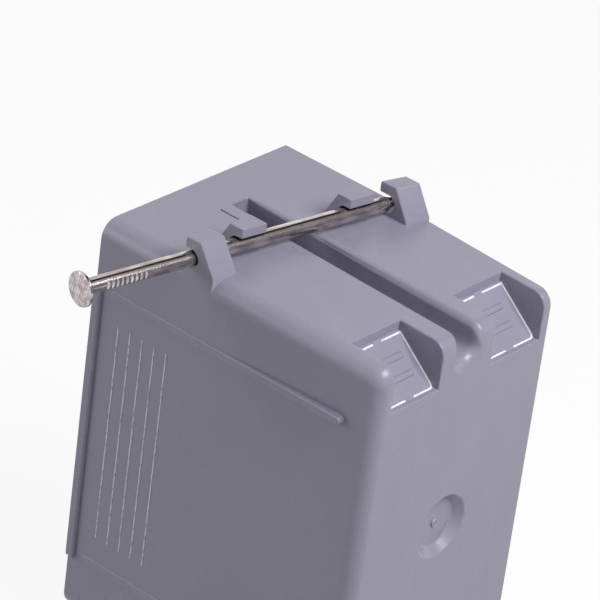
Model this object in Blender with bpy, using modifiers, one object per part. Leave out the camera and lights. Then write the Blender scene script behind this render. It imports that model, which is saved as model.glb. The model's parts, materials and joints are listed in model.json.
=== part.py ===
"""Single-gang new work outlet box with two captive nails.

The box is one plastic moulding. Its open front faces -Y, its back +Y, and it stands as
installed, with Z up. The stud side lies in the plane X = 0 and the nail heads stand out at
+X. The origin is on the stud side, at mid height, where the front edge of the stud comes:
one wallboard's thickness behind the rim. The shapes are drawn from the rim, in the plane
Y = 0 of the empty "rim_frame", which carries them all.
"""

import math

import bmesh
import bpy
from mathutils import Matrix, Vector

MM = 0.001

# Wallboard in front of the stud, which the rim stands level with
WALLBOARD = 12.7 * MM

# Box shell
BODY_WIDTH = 56.2 * MM
BODY_DEPTH = 74.6 * MM
BODY_HEIGHT = 94.9 * MM
WALL = 2.2 * MM
KNEE_DEPTH = 30.7 * MM
STUD_SIDE_DRAFT = 1.0 * MM
ROOM_SIDE_DRAFT = 1.65 * MM
END_DRAFT = 1.2 * MM
END_EDGE_RADIUS = 4.0 * MM
BACK_EDGE_RADIUS = 3.4 * MM
INNER_EDGE_RADIUS = 1.2 * MM

# Device axis: grooves, screw bosses, knockouts and the gate dimple are centred on it
DEVICE_AXIS_X = 27.1 * MM
SCREW_SPACING = 83.3 * MM
SCREW_BORE = 2.9 * MM
SCREW_LEAD_IN = 0.6 * MM
SCREW_CLEARANCE = 0.6 * MM
BOSS_WIDTH = 13.6 * MM
BOSS_RECESS = 0.5 * MM
BOSS_LENGTH = 21.0 * MM

# Groove outside each end wall, where the device screw runs out
GROOVE_WIDTH = 6.2 * MM
GROOVE_START = 11.0 * MM
GROOVE_NEAR_DRAFT = 0.35 * MM
GROOVE_FLARE_FRONT = 0.8 * MM
GROOVE_FLARE_REAR = 2.1 * MM
GROOVE_MOUTH_RADIUS = 2.6 * MM
GROOVE_MOUTH_DROP = 2.0 * MM
GROOVE_CORNER = 0.8 * MM

# Springy tongue beside the front end of the groove
TONGUE_OFFSET = 2.05 * MM
TONGUE_WIDTH = 3.25 * MM
TONGUE_LENGTH = 8.6 * MM
TONGUE_THICKNESS = 1.8 * MM
TONGUE_SLIT = 0.5 * MM
TONGUE_POCKET_DEPTH = 5.6 * MM

# Knockouts across the edge between each end wall and the back
KNOCKOUT_OFFSET = 16.0 * MM
KNOCKOUT_WIDTH = 15.4 * MM
KNOCKOUT_DEPTH = 12.0 * MM
KNOCKOUT_DROP = 11.6 * MM
KNOCKOUT_PLATE = 1.3 * MM
KNOCKOUT_SLIT = 0.5 * MM
KNOCKOUT_CORNER = 1.0 * MM
KNOCKOUT_WEB = 2.4 * MM
KNOCKOUT_CHEEK = 1.5 * MM
GRIP_BAR_LENGTH = 8.6 * MM
GRIP_BAR_WIDTH = 1.2 * MM
GRIP_BAR_HEIGHT = 0.4 * MM
GRIP_BAR_PITCH = 4.1 * MM
GRIP_BAR_RISE = 0.5 * MM

# Dimple round the gate mark, in the middle of the back
DIMPLE_DIAMETER = 14.6 * MM
DIMPLE_FLOOR = 10.8 * MM
DIMPLE_DEPTH = 2.0 * MM
GATE_DIAMETER = 2.0 * MM
GATE_HEIGHT = 0.35 * MM

# Nails
NAIL_SHANK = 3.4 * MM
NAIL_HEAD = 7.5 * MM
NAIL_HEAD_RIM = 0.75 * MM
NAIL_HEAD_CONE = 0.8 * MM
NAIL_LENGTH = 83.1 * MM
NAIL_POINT = 5.2 * MM
NAIL_SKEW = 0.18
NAIL_LIFT = 2.6 * MM
NAIL_DEPTH = 24.1 * MM
NAIL_HEAD_REACH = 26.9 * MM
NAIL_CLEARANCE = 0.3 * MM
GRIP_MARK_COUNT = 9
GRIP_MARK_PITCH = 1.15 * MM
GRIP_MARK_START = 6.0 * MM
GRIP_MARK_DEPTH = 0.3 * MM

# Brackets at both sides and hooks between them, on each end wall
GUIDE_HEIGHT = 7.0 * MM
BRACKET_NEAR_WIDTH = 6.3 * MM
BRACKET_FAR_WIDTH = 5.9 * MM
BRACKET_NEAR_FRONT = 1.6 * MM
BRACKET_FAR_FRONT = 2.3 * MM
BRACKET_NEAR_CREST = 2.4 * MM
BRACKET_FAR_CREST = 1.85 * MM
BRACKET_NEAR_FOOT = 6.6 * MM
BRACKET_FAR_FOOT = 5.7 * MM
BRACKET_NEAR_LEAN = 0.12
BRACKET_FAR_LEAN = 0.28
BRACKET_STEP = 0.5 * MM
HOOK_HEIGHT = 6.6 * MM
HOOK_WIDTH = 6.2 * MM
HOOK_NEAR_X = 44.7 * MM
HOOK_FAR_X = 17.0 * MM
HOOK_CREST_LENGTH = 3.5 * MM
HOOK_REACH = 1.25 * MM
HOOK_RAMP = 3.7 * MM
FLUSH_SETBACK = 0.05 * MM

# Ribs, rim strip and gauge lines of the side walls
RIB_HEIGHT = 65.0 * MM
RIB_WIDTH = 1.8 * MM
RIB_START = 4.5 * MM
RIB_END = 67.0 * MM
RIB_PROUD = 0.25 * MM
STRIP_WIDTH = 1.85 * MM
STRIP_PROUD = 0.9 * MM
STRIP_LENGTH = 68.6 * MM
GAUGE_FIRST = 7.1 * MM
GAUGE_PITCH = 3.3 * MM
GAUGE_COUNT = 5
GAUGE_LENGTH = 52.0 * MM
GAUGE_WIDTH = 0.3 * MM
GAUGE_PROUD = 0.12 * MM

# Cutters run past what they cut by this much
OVERCUT = 3.0 * MM

HALF_HEIGHT = BODY_HEIGHT / 2
SCREW_HEIGHT = SCREW_SPACING / 2
GROOVE_FLOOR = SCREW_HEIGHT - SCREW_BORE / 2 - SCREW_CLEARANCE
NAIL_HEIGHT = HALF_HEIGHT + NAIL_LIFT
GUIDE_TOP = HALF_HEIGHT + GUIDE_HEIGHT
NAIL_BORE_RADIUS = NAIL_SHANK / 2 + NAIL_CLEARANCE

# Local X, Y and Z of a flat outline become world Y, Z and X
PROFILE_TO_WORLD = Matrix(((0, 0, 1), (1, 0, 0), (0, 1, 0))).to_4x4()
ENDS = {"top": 1, "bottom": -1}


def clear_scene():
    for obj in list(bpy.data.objects):
        bpy.data.objects.remove(obj, do_unlink=True)


def new_collection(name):
    collection = bpy.data.collections.new(name)
    bpy.context.scene.collection.children.link(collection)
    return collection


def new_material(name, colour, roughness, metallic):
    material = bpy.data.materials.new(name)
    material.use_nodes = True
    shader = material.node_tree.nodes["Principled BSDF"]
    shader.inputs["Base Color"].default_value = (*colour, 1.0)
    shader.inputs["Roughness"].default_value = roughness
    shader.inputs["Metallic"].default_value = metallic
    return material


def object_from_bmesh(bm, name, collection, tool=False):
    """Turn a bmesh into a linked object; a tool shape is hidden from renders."""
    bmesh.ops.recalc_face_normals(bm, faces=bm.faces)
    mesh = bpy.data.meshes.new(name)
    bm.to_mesh(mesh)
    bm.free()
    obj = bpy.data.objects.new(name, mesh)
    collection.objects.link(obj)
    if tool:
        obj.hide_render = True
        obj.display_type = "WIRE"
    return obj


def tool_box(name, low, high, collection):
    """Axis-aligned block between two corners."""
    low, high = Vector(low), Vector(high)
    bm = bmesh.new()
    bmesh.ops.create_cube(bm, size=1.0)
    bmesh.ops.scale(bm, vec=high - low, verts=bm.verts)
    bmesh.ops.translate(bm, vec=(low + high) / 2, verts=bm.verts)
    return object_from_bmesh(bm, name, collection, tool=True)


def tool_cylinder(name, radius_start, radius_end, start, end, collection, segments=32):
    """Cylinder or cone between two points."""
    start, end = Vector(start), Vector(end)
    axis = end - start
    bm = bmesh.new()
    bmesh.ops.create_cone(bm, cap_ends=True, segments=segments, radius1=radius_start,
                          radius2=radius_end, depth=axis.length)
    turn = axis.to_track_quat("Z", "Y").to_matrix().to_4x4()
    bmesh.ops.transform(bm, matrix=Matrix.Translation((start + end) / 2) @ turn,
                        verts=bm.verts)
    return object_from_bmesh(bm, name, collection, tool=True)


def flat_outline_mesh(name, loops, thickness):
    """Closed bmesh of filled flat loops, centred on the local plane Z = 0."""
    curve = bpy.data.curves.new(name, "CURVE")
    curve.dimensions = "2D"
    curve.fill_mode = "BOTH"
    curve.extrude = thickness / 2
    for loop in loops:
        spline = curve.splines.new("POLY")
        spline.points.add(len(loop) - 1)
        for point, (u, v) in zip(spline.points, loop):
            point.co = (u, v, 0.0, 1.0)
        spline.use_cyclic_u = True
    guide = bpy.data.objects.new(name, curve)
    bpy.context.scene.collection.objects.link(guide)
    bpy.context.view_layer.update()
    mesh = bpy.data.meshes.new_from_object(guide.evaluated_get(
        bpy.context.evaluated_depsgraph_get()))
    bpy.data.objects.remove(guide, do_unlink=True)
    bm = bmesh.new()
    bm.from_mesh(mesh)
    bpy.data.meshes.remove(mesh)
    bmesh.ops.remove_doubles(bm, verts=bm.verts, dist=0.00001)
    return bm


def tool_profile(name, outline, x_low, x_high, end, collection):
    """Side profile of (depth, height) points, carried across from x_low to x_high."""
    bm = flat_outline_mesh(name, [[(y, z * end) for y, z in outline]], x_high - x_low)
    place = Matrix.Translation(((x_low + x_high) / 2, 0, 0)) @ PROFILE_TO_WORLD
    bmesh.ops.transform(bm, matrix=place, verts=bm.verts)
    return object_from_bmesh(bm, name, collection, tool=True)


def loft(name, rings, collection):
    """Closed skin through rings of equally many points, with a cap at both ends."""
    bm = bmesh.new()
    loops = [[bm.verts.new(point) for point in ring] for ring in rings]
    for first, second in zip(loops, loops[1:]):
        for i in range(len(first)):
            j = (i + 1) % len(first)
            bm.faces.new((first[i], first[j], second[j], second[i]))
    bm.faces.new(loops[0])
    bm.faces.new(list(reversed(loops[-1])))
    return object_from_bmesh(bm, name, collection, tool=True)


def end_wall_height(depth):
    """Height of the outer face of the end wall at a given depth."""
    if depth <= KNEE_DEPTH:
        return HALF_HEIGHT
    return HALF_HEIGHT - END_DRAFT * (depth - KNEE_DEPTH) / (BODY_DEPTH - KNEE_DEPTH)


def nail_depth_at(x):
    """Depth of the nail's axis where it passes a given X."""
    return NAIL_DEPTH + NAIL_SKEW * (BODY_WIDTH - x)


def drafted_block(name, inset, front, side_radius, back_radius, collection, tool):
    """Box that is straight from the rim to the knee and drafted from there to the back.

    The edges at the stud side stay sharp, so that the box sits flat against the stud.
    """
    bm = bmesh.new()
    bmesh.ops.create_cube(bm, size=1.0)
    size = Vector((BODY_WIDTH - 2 * inset, BODY_DEPTH - inset - front,
                   BODY_HEIGHT - 2 * inset))
    bmesh.ops.scale(bm, vec=size, verts=bm.verts)
    centre = Vector((BODY_WIDTH / 2, (BODY_DEPTH - inset + front) / 2, 0))
    bmesh.ops.translate(bm, vec=centre, verts=bm.verts)
    bmesh.ops.bisect_plane(bm, geom=bm.verts[:] + bm.edges[:] + bm.faces[:],
                           plane_co=(0, KNEE_DEPTH, 0), plane_no=(0, 1, 0))
    for vert in bm.verts:
        if vert.co.y > KNEE_DEPTH + MM:
            on_stud_side = vert.co.x < BODY_WIDTH / 2
            vert.co.x += STUD_SIDE_DRAFT if on_stud_side else -ROOM_SIDE_DRAFT
            vert.co.z -= math.copysign(END_DRAFT, vert.co.z)
    room_edges = [e for e in bm.edges
                  if all(v.co.x > BODY_WIDTH / 2 for v in e.verts)
                  and abs(e.verts[0].co.y - e.verts[1].co.y) > MM]
    bmesh.ops.bevel(bm, geom=room_edges, offset=side_radius, offset_type="OFFSET",
                    segments=6, profile=0.5, affect="EDGES")
    back = BODY_DEPTH - inset
    back_edges = [e for e in bm.edges
                  if all(abs(v.co.y - back) < 0.01 * MM for v in e.verts)
                  and any(v.co.x > BODY_WIDTH / 2 for v in e.verts)]
    bmesh.ops.bevel(bm, geom=back_edges, offset=back_radius, offset_type="OFFSET",
                    segments=5, profile=0.5, affect="EDGES")
    return object_from_bmesh(bm, name, collection, tool=tool)


def groove_ring(depth, end, grow=0.0, flare=0.0, drop=0.0):
    """One U section of the groove: a round lip at the stud side, a drafted room side."""
    half = GROOVE_WIDTH / 2 + grow
    floor = GROOVE_FLOOR - grow - drop
    top = end_wall_height(min(depth, BODY_DEPTH))
    over = top + OVERCUT
    points = [(-half - flare, over)]
    for i in range(5):
        turn = i / 4 * math.pi / 2
        points.append((-half - flare + flare * math.sin(turn),
                       top - flare + flare * math.cos(turn)))
    for i in range(1, 12):
        turn = i / 12 * math.pi
        points.append((-half * math.cos(turn), floor + half - half * math.sin(turn)))
    lean = GROOVE_NEAR_DRAFT / (top - floor - half)
    points += [(half, floor + half), (half + lean * (over - floor - half), over)]
    return [Vector((DEVICE_AXIS_X + u, depth, v * end)) for u, v in points]


def circle_ring(depth, height, radius, segments=24):
    """Circle round the device axis at one depth."""
    turns = (i / segments * 2 * math.pi for i in range(segments))
    return [Vector((DEVICE_AXIS_X + radius * math.cos(turn), depth,
                    height + radius * math.sin(turn))) for turn in turns]


def groove_cutter(end, collection):
    """Groove that widens to a soft mouth where it runs out through the back."""
    mouth = GROOVE_MOUTH_RADIUS
    rings = [groove_ring(GROOVE_START, end, grow=-GROOVE_CORNER, flare=GROOVE_CORNER / 2),
             groove_ring(GROOVE_START + GROOVE_CORNER, end, flare=GROOVE_FLARE_FRONT),
             groove_ring(KNEE_DEPTH, end, flare=GROOVE_FLARE_REAR)]
    for i in range(6):
        turn = i / 5 * math.pi / 2
        opening = mouth * (1 - math.cos(turn))
        rings.append(groove_ring(BODY_DEPTH - mouth + mouth * math.sin(turn), end,
                                 grow=opening / 2, flare=GROOVE_FLARE_REAR,
                                 drop=opening / mouth * GROOVE_MOUTH_DROP))
    rings.append(groove_ring(BODY_DEPTH + OVERCUT, end, grow=mouth / 2,
                             flare=GROOVE_FLARE_REAR, drop=GROOVE_MOUTH_DROP))
    return loft("groove_cutter", rings, collection)


def knockout_line():
    """Outer line of the knockout plate: inner edge of the end wall to that of the back."""
    high = Vector((BODY_DEPTH - KNOCKOUT_DEPTH + KNOCKOUT_SLIT,
                   end_wall_height(BODY_DEPTH - KNOCKOUT_DEPTH) - WALL))
    low = Vector((BODY_DEPTH - WALL, HALF_HEIGHT - KNOCKOUT_DROP))
    return high, low


def knockout_matrix(centre_x, end):
    """Place of a plate's own frame: X across, Y down its slope, Z out of the box."""
    high, low = knockout_line()
    slope = (low - high).normalized()
    down = Vector((0, slope.x, slope.y))
    out = Vector((0, -slope.y, slope.x))
    middle = (high + low) / 2
    turn = Matrix((Vector((1, 0, 0)), down, out)).transposed().to_4x4()
    place = Matrix.Translation((centre_x, middle.x, middle.y)) @ turn
    return Matrix.Diagonal((1, 1, end, 1)) @ place


def rounded_rectangle(width, height, radius, steps=4):
    """Outline with rounded corners at the lower end only, counter-clockwise."""
    half, tall = width / 2, height / 2
    points = [(half, -tall), (-half, -tall)]
    points.reverse()
    for i in range(steps + 1):
        turn = i / steps * math.pi / 2
        points.append((half - radius + radius * math.cos(turn),
                       tall - radius + radius * math.sin(turn)))
    for i in range(steps + 1):
        turn = i / steps * math.pi / 2
        points.append((-half + radius - radius * math.sin(turn),
                       tall - radius + radius * math.cos(turn)))
    return points


def add_knockout(centre_x, end, reliefs, cutters, plates):
    """Notch through the box's edge, closed by a plate that two small webs hold."""
    high, low = knockout_line()
    slope = (low - high).normalized()
    x_low, x_high = centre_x - KNOCKOUT_WIDTH / 2, centre_x + KNOCKOUT_WIDTH / 2
    beyond_y, beyond_z = BODY_DEPTH + OVERCUT, HALF_HEIGHT + OVERCUT
    notch = [(BODY_DEPTH - KNOCKOUT_DEPTH, beyond_z),
             (BODY_DEPTH - KNOCKOUT_DEPTH, high.y),
             (high.x, high.y), (low.x, low.y), (beyond_y, low.y), (beyond_y, beyond_z)]
    tool_profile("notch_cutter", notch, x_low, x_high, end, cutters)

    # The moulding's core is cut back along the plate's inner side
    inward = Vector((slope.y, -slope.x)) * KNOCKOUT_PLATE
    run_out = slope * (3 * WALL)
    inner_high, inner_low = high + inward - run_out, low + inward + run_out
    corner = [tuple(inner_high), tuple(inner_low), (beyond_y, inner_low.y),
              (beyond_y, beyond_z), (inner_high.x, beyond_z)]
    tool_profile("knockout_relief", corner, x_low - KNOCKOUT_CHEEK,
                 x_high + KNOCKOUT_CHEEK, end, reliefs)

    length = (low - high).length
    place = knockout_matrix(centre_x, end)
    window = flat_outline_mesh("window_cutter", [rounded_rectangle(
        KNOCKOUT_WIDTH, length, KNOCKOUT_CORNER)], 4 * KNOCKOUT_PLATE)
    bmesh.ops.transform(window, matrix=place, verts=window.verts)
    object_from_bmesh(window, "window_cutter", cutters, tool=True)

    lid = flat_outline_mesh("knockout_plate", [rounded_rectangle(
        KNOCKOUT_WIDTH - 2 * KNOCKOUT_SLIT, length - 2 * KNOCKOUT_SLIT,
        KNOCKOUT_CORNER - KNOCKOUT_SLIT / 2)], KNOCKOUT_PLATE)
    bmesh.ops.translate(lid, vec=(0, 0, -KNOCKOUT_PLATE / 2), verts=lid.verts)
    bmesh.ops.transform(lid, matrix=place, verts=lid.verts)
    object_from_bmesh(lid, "knockout_plate", plates, tool=True)

    for row in (-1, 1):
        web = bmesh.new()
        bmesh.ops.create_cube(web, size=1.0)
        bmesh.ops.scale(web, vec=(KNOCKOUT_WEB, 4 * KNOCKOUT_SLIT, KNOCKOUT_PLATE * 0.6),
                        verts=web.verts)
        bmesh.ops.translate(web, vec=(0, row * length / 2, -KNOCKOUT_PLATE * 0.6),
                            verts=web.verts)
        bmesh.ops.transform(web, matrix=place, verts=web.verts)
        object_from_bmesh(web, "knockout_web", plates, tool=True)

        bar = flat_outline_mesh("grip_bar", [stadium(GRIP_BAR_LENGTH, GRIP_BAR_WIDTH)],
                                2 * GRIP_BAR_HEIGHT)
        bmesh.ops.translate(bar, vec=(0, row * GRIP_BAR_PITCH / 2 - GRIP_BAR_RISE, 0),
                            verts=bar.verts)
        bmesh.ops.transform(bar, matrix=place, verts=bar.verts)
        object_from_bmesh(bar, "grip_bar", plates, tool=True)


def stadium(length, width, steps=6):
    """Outline of a bar with round ends, along its own X."""
    radius = width / 2
    reach = length / 2 - radius
    points = []
    for side in (1, -1):
        for i in range(steps + 1):
            turn = (i / steps - 0.5) * math.pi
            points.append((side * (reach + radius * math.cos(turn)),
                           side * radius * math.sin(turn)))
    return points


def sheared(obj, threshold=-1.0, lean=NAIL_SKEW):
    """Lean a guide's points beyond a depth backwards, from its room side to the other."""
    x_ref = max(v.co.x for v in obj.data.vertices)
    for vert in obj.data.vertices:
        if vert.co.y > threshold:
            vert.co.y += lean * (x_ref - vert.co.x)
    return obj


def add_bracket(x_low, x_high, front, crest, foot, lean, end, additions):
    """Bracket with a long slope behind it; the nail runs through below its crest."""
    axis = nail_depth_at(x_high)
    base = HALF_HEIGHT - WALL * 0.6
    reach = base if x_low < BODY_WIDTH / 2 else HALF_HEIGHT - END_EDGE_RADIUS
    outline = [(axis - front, reach), (axis + foot, reach),
               (axis + foot, HALF_HEIGHT + BRACKET_STEP), (axis + crest, GUIDE_TOP),
               (axis - front + 0.4 * MM, GUIDE_TOP), (axis - front, GUIDE_TOP - 0.4 * MM)]
    bracket = tool_profile("nail_bracket", outline, x_low, x_high, end, additions)
    sheared(bracket, lean=lean)


def add_hook(x_high, end, additions):
    """Hook with a ramp before it; its lip ends just past the nail's crest."""
    axis = nail_depth_at(x_high)
    lip = axis + HOOK_REACH
    front = lip - HOOK_CREST_LENGTH
    base = HALF_HEIGHT - WALL * 0.6
    top = HALF_HEIGHT + HOOK_HEIGHT
    ramp = HOOK_RAMP * (top - base) / HOOK_HEIGHT
    outline = [(front - ramp, base), (lip, base), (lip, top), (front, top)]
    hook = tool_profile("nail_hook", outline, x_high - HOOK_WIDTH, x_high, end, additions)
    sheared(hook, threshold=(front + lip) / 2)


def guide_slot(x_low, x_high, end, opening, floor, cutters):
    """Round seat for the nail, open down to a floor at the front (-1) or the back (+1)."""
    steps = 16
    outline = []
    for i in range(steps + 1):
        turn = math.pi / 2 + i / steps * math.pi
        outline.append((opening * NAIL_BORE_RADIUS * math.cos(turn),
                        NAIL_HEIGHT + NAIL_BORE_RADIUS * math.sin(turn)))
    reach = opening * 3 * NAIL_SHANK
    if floor < outline[-1][1]:
        outline.append((0.0, floor))
    outline += [(reach, floor), (reach, NAIL_HEIGHT + NAIL_BORE_RADIUS)]
    axis = nail_depth_at(x_high)
    outline = [(axis + y, z) for y, z in outline]
    sheared(tool_profile("nail_slot", outline, x_low, x_high, end, cutters))


def add_nail_guides(end, additions, cutters):
    """Two brackets at the sides and two hooks between them hold the nail."""
    near_high = BODY_WIDTH - FLUSH_SETBACK
    near_low = BODY_WIDTH - BRACKET_NEAR_WIDTH
    add_bracket(near_low, near_high, BRACKET_NEAR_FRONT, BRACKET_NEAR_CREST,
                BRACKET_NEAR_FOOT, BRACKET_NEAR_LEAN, end, additions)
    add_bracket(FLUSH_SETBACK, BRACKET_FAR_WIDTH, BRACKET_FAR_FRONT, BRACKET_FAR_CREST,
                BRACKET_FAR_FOOT, BRACKET_FAR_LEAN, end, additions)
    seat_floor = NAIL_HEIGHT - NAIL_BORE_RADIUS
    guide_slot(near_low - MM, BODY_WIDTH + MM, end, -1, seat_floor, cutters)
    guide_slot(-MM, BRACKET_FAR_WIDTH + MM, end, -1, seat_floor, cutters)
    for x_high in (HOOK_NEAR_X, HOOK_FAR_X):
        add_hook(x_high, end, additions)
        guide_slot(x_high - HOOK_WIDTH - MM, x_high + MM, end, 1,
                   HALF_HEIGHT + FLUSH_SETBACK, cutters)


def add_rib(x_low, x_high, height, additions):
    """Straight rib with a round rear end; its crest stays parallel to the depth axis."""
    length = RIB_END - RIB_START
    bm = flat_outline_mesh("side_rib", [stadium(length, RIB_WIDTH)], x_high - x_low)
    middle = ((x_low + x_high) / 2, (RIB_START + RIB_END) / 2, height)
    bmesh.ops.transform(bm, matrix=Matrix.Translation(middle) @ PROFILE_TO_WORLD,
                        verts=bm.verts)
    object_from_bmesh(bm, "side_rib", additions, tool=True)


def add_side_details(additions):
    """Ribs on both sides; the rim strip and the gauge lines on the room side."""
    for height in (-RIB_HEIGHT / 2, RIB_HEIGHT / 2):
        add_rib(BODY_WIDTH - WALL, BODY_WIDTH + RIB_PROUD, height, additions)
        add_rib(FLUSH_SETBACK, WALL, height, additions)

    half = STRIP_LENGTH / 2
    low, high = BODY_WIDTH - WALL / 2, BODY_WIDTH + STRIP_PROUD
    outline = [(low, -half), (BODY_WIDTH, -half), (high, -half + STRIP_PROUD),
               (high, half - STRIP_PROUD), (BODY_WIDTH, half), (low, half)]
    strip = flat_outline_mesh("rim_strip", [outline], STRIP_WIDTH + OVERCUT)
    place = Matrix.Translation((0, (STRIP_WIDTH - OVERCUT) / 2, 0)) @ Matrix.Rotation(
        math.pi / 2, 4, "X")
    bmesh.ops.transform(strip, matrix=place, verts=strip.verts)
    object_from_bmesh(strip, "rim_strip", additions, tool=True)

    for i in range(GAUGE_COUNT):
        y = GAUGE_FIRST + i * GAUGE_PITCH
        tool_box("gauge_line",
                 (BODY_WIDTH - WALL / 2, y - GAUGE_WIDTH / 2, -GAUGE_LENGTH / 2),
                 (BODY_WIDTH + GAUGE_PROUD, y + GAUGE_WIDTH / 2, GAUGE_LENGTH / 2),
                 additions)


def add_groove(end, reliefs, cutters, plates):
    """Groove with its inner ridge, screw boss, bore and springy tongue."""
    groove_cutter(end, cutters)
    ridge = [groove_ring(y, end, grow=WALL * 0.9)
             for y in (BOSS_RECESS + MM, KNEE_DEPTH, BODY_DEPTH + OVERCUT)]
    loft("groove_relief", ridge, reliefs)

    boss_floor = GROOVE_FLOOR - WALL
    tool_box("boss_relief",
             (DEVICE_AXIS_X - BOSS_WIDTH / 2, BOSS_RECESS, min(boss_floor * end,
                                                             (HALF_HEIGHT + MM) * end)),
             (DEVICE_AXIS_X + BOSS_WIDTH / 2, BOSS_LENGTH, max(boss_floor * end,
                                                             (HALF_HEIGHT + MM) * end)),
             reliefs)
    bore, lead_in = SCREW_BORE / 2, SCREW_BORE / 2 + SCREW_LEAD_IN
    loft("screw_bore", [circle_ring(y, SCREW_HEIGHT * end, radius) for y, radius in (
        (-OVERCUT, lead_in), (BOSS_RECESS, lead_in), (BOSS_RECESS + SCREW_LEAD_IN, bore),
        (GROOVE_START + MM, bore))], cutters)

    # Pocket under the tongue, between the groove and the slit
    slit_x = DEVICE_AXIS_X + TONGUE_OFFSET + TONGUE_WIDTH
    heights = sorted(((HALF_HEIGHT - TONGUE_POCKET_DEPTH) * end,
                      (HALF_HEIGHT + OVERCUT) * end))
    tool_box("tongue_pocket", (DEVICE_AXIS_X, GROOVE_START, heights[0]),
             (slit_x + TONGUE_SLIT, GROOVE_START + TONGUE_LENGTH + 2 * TONGUE_SLIT,
              heights[1]), cutters)
    heights = sorted(((HALF_HEIGHT - TONGUE_THICKNESS) * end,
                      (HALF_HEIGHT - FLUSH_SETBACK) * end))
    tool_box("tongue", (slit_x - TONGUE_WIDTH, GROOVE_START - MM, heights[0]),
             (slit_x, GROOVE_START + TONGUE_LENGTH, heights[1]), plates)


def add_dimple(reliefs, cutters, plates):
    """Round dimple in the back, with the gate's small disc on its floor."""
    middle = (DEVICE_AXIS_X, BODY_DEPTH, 0)
    floor = (DEVICE_AXIS_X, BODY_DEPTH - DIMPLE_DEPTH, 0)
    slope = (DIMPLE_DIAMETER - DIMPLE_FLOOR) / 2 / DIMPLE_DEPTH
    tool_cylinder("dimple_cutter", DIMPLE_FLOOR / 2, DIMPLE_DIAMETER / 2 + slope * MM,
                  floor, (middle[0], middle[1] + MM, 0), cutters, segments=40)
    tool_cylinder("dimple_relief", DIMPLE_DIAMETER / 2 - WALL / 2, DIMPLE_DIAMETER / 2,
                  (middle[0], BODY_DEPTH - DIMPLE_DEPTH - WALL, 0), middle, reliefs,
                  segments=40)
    tool_cylinder("gate_mark", GATE_DIAMETER / 2, GATE_DIAMETER / 2,
                  (floor[0], floor[1] - MM, 0), (floor[0], floor[1] + GATE_HEIGHT, 0),
                  plates, segments=20)


def boolean(obj, operation, collection):
    modifier = obj.modifiers.new(collection.name, "BOOLEAN")
    modifier.operation = operation
    modifier.operand_type = "COLLECTION"
    modifier.collection = collection
    modifier.solver = "EXACT"


def build_box(parts, tools, plastic):
    """The moulding: outer block, plus guides, less core and openings, plus plates."""
    reliefs, additions, cutters, plates = (
        bpy.data.collections.new(name)
        for name in ("core_reliefs", "outer_additions", "cutters", "inner_additions"))
    for collection in (reliefs, additions, cutters, plates):
        tools.children.link(collection)

    body = drafted_block("box_body", 0.0, -MM, END_EDGE_RADIUS, BACK_EDGE_RADIUS, parts,
                         tool=False)
    core = drafted_block("core", WALL, -OVERCUT, END_EDGE_RADIUS - WALL,
                         INNER_EDGE_RADIUS, cutters, tool=True)
    boolean(core, "DIFFERENCE", reliefs)
    tool_box("rim_trim", (-OVERCUT, -2 * OVERCUT, -BODY_HEIGHT),
             (BODY_WIDTH + OVERCUT, 0, BODY_HEIGHT), cutters)

    for end in ENDS.values():
        add_nail_guides(end, additions, cutters)
        add_groove(end, reliefs, cutters, plates)
        for side in (-1, 1):
            add_knockout(DEVICE_AXIS_X + side * KNOCKOUT_OFFSET, end, reliefs, cutters,
                         plates)
    add_side_details(additions)
    add_dimple(reliefs, cutters, plates)

    boolean(body, "UNION", additions)
    boolean(body, "DIFFERENCE", cutters)
    boolean(body, "UNION", plates)
    body.data.materials.append(plastic)
    return body


def nail_profile():
    """Half outline of the nail, from its axis at the head's face to that at the point."""
    head, shank = NAIL_HEAD / 2, NAIL_SHANK / 2
    neck = NAIL_HEAD_RIM + NAIL_HEAD_CONE
    return [(0.0, 0.0), (head - 0.25 * MM, 0.0), (head, 0.2 * MM), (head, NAIL_HEAD_RIM),
            (shank + 0.35 * MM, neck), (shank, neck + 0.5 * MM),
            (shank, NAIL_LENGTH - NAIL_POINT), (shank * 0.72, NAIL_LENGTH - NAIL_POINT * 0.7),
            (0.0, NAIL_LENGTH)]


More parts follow.
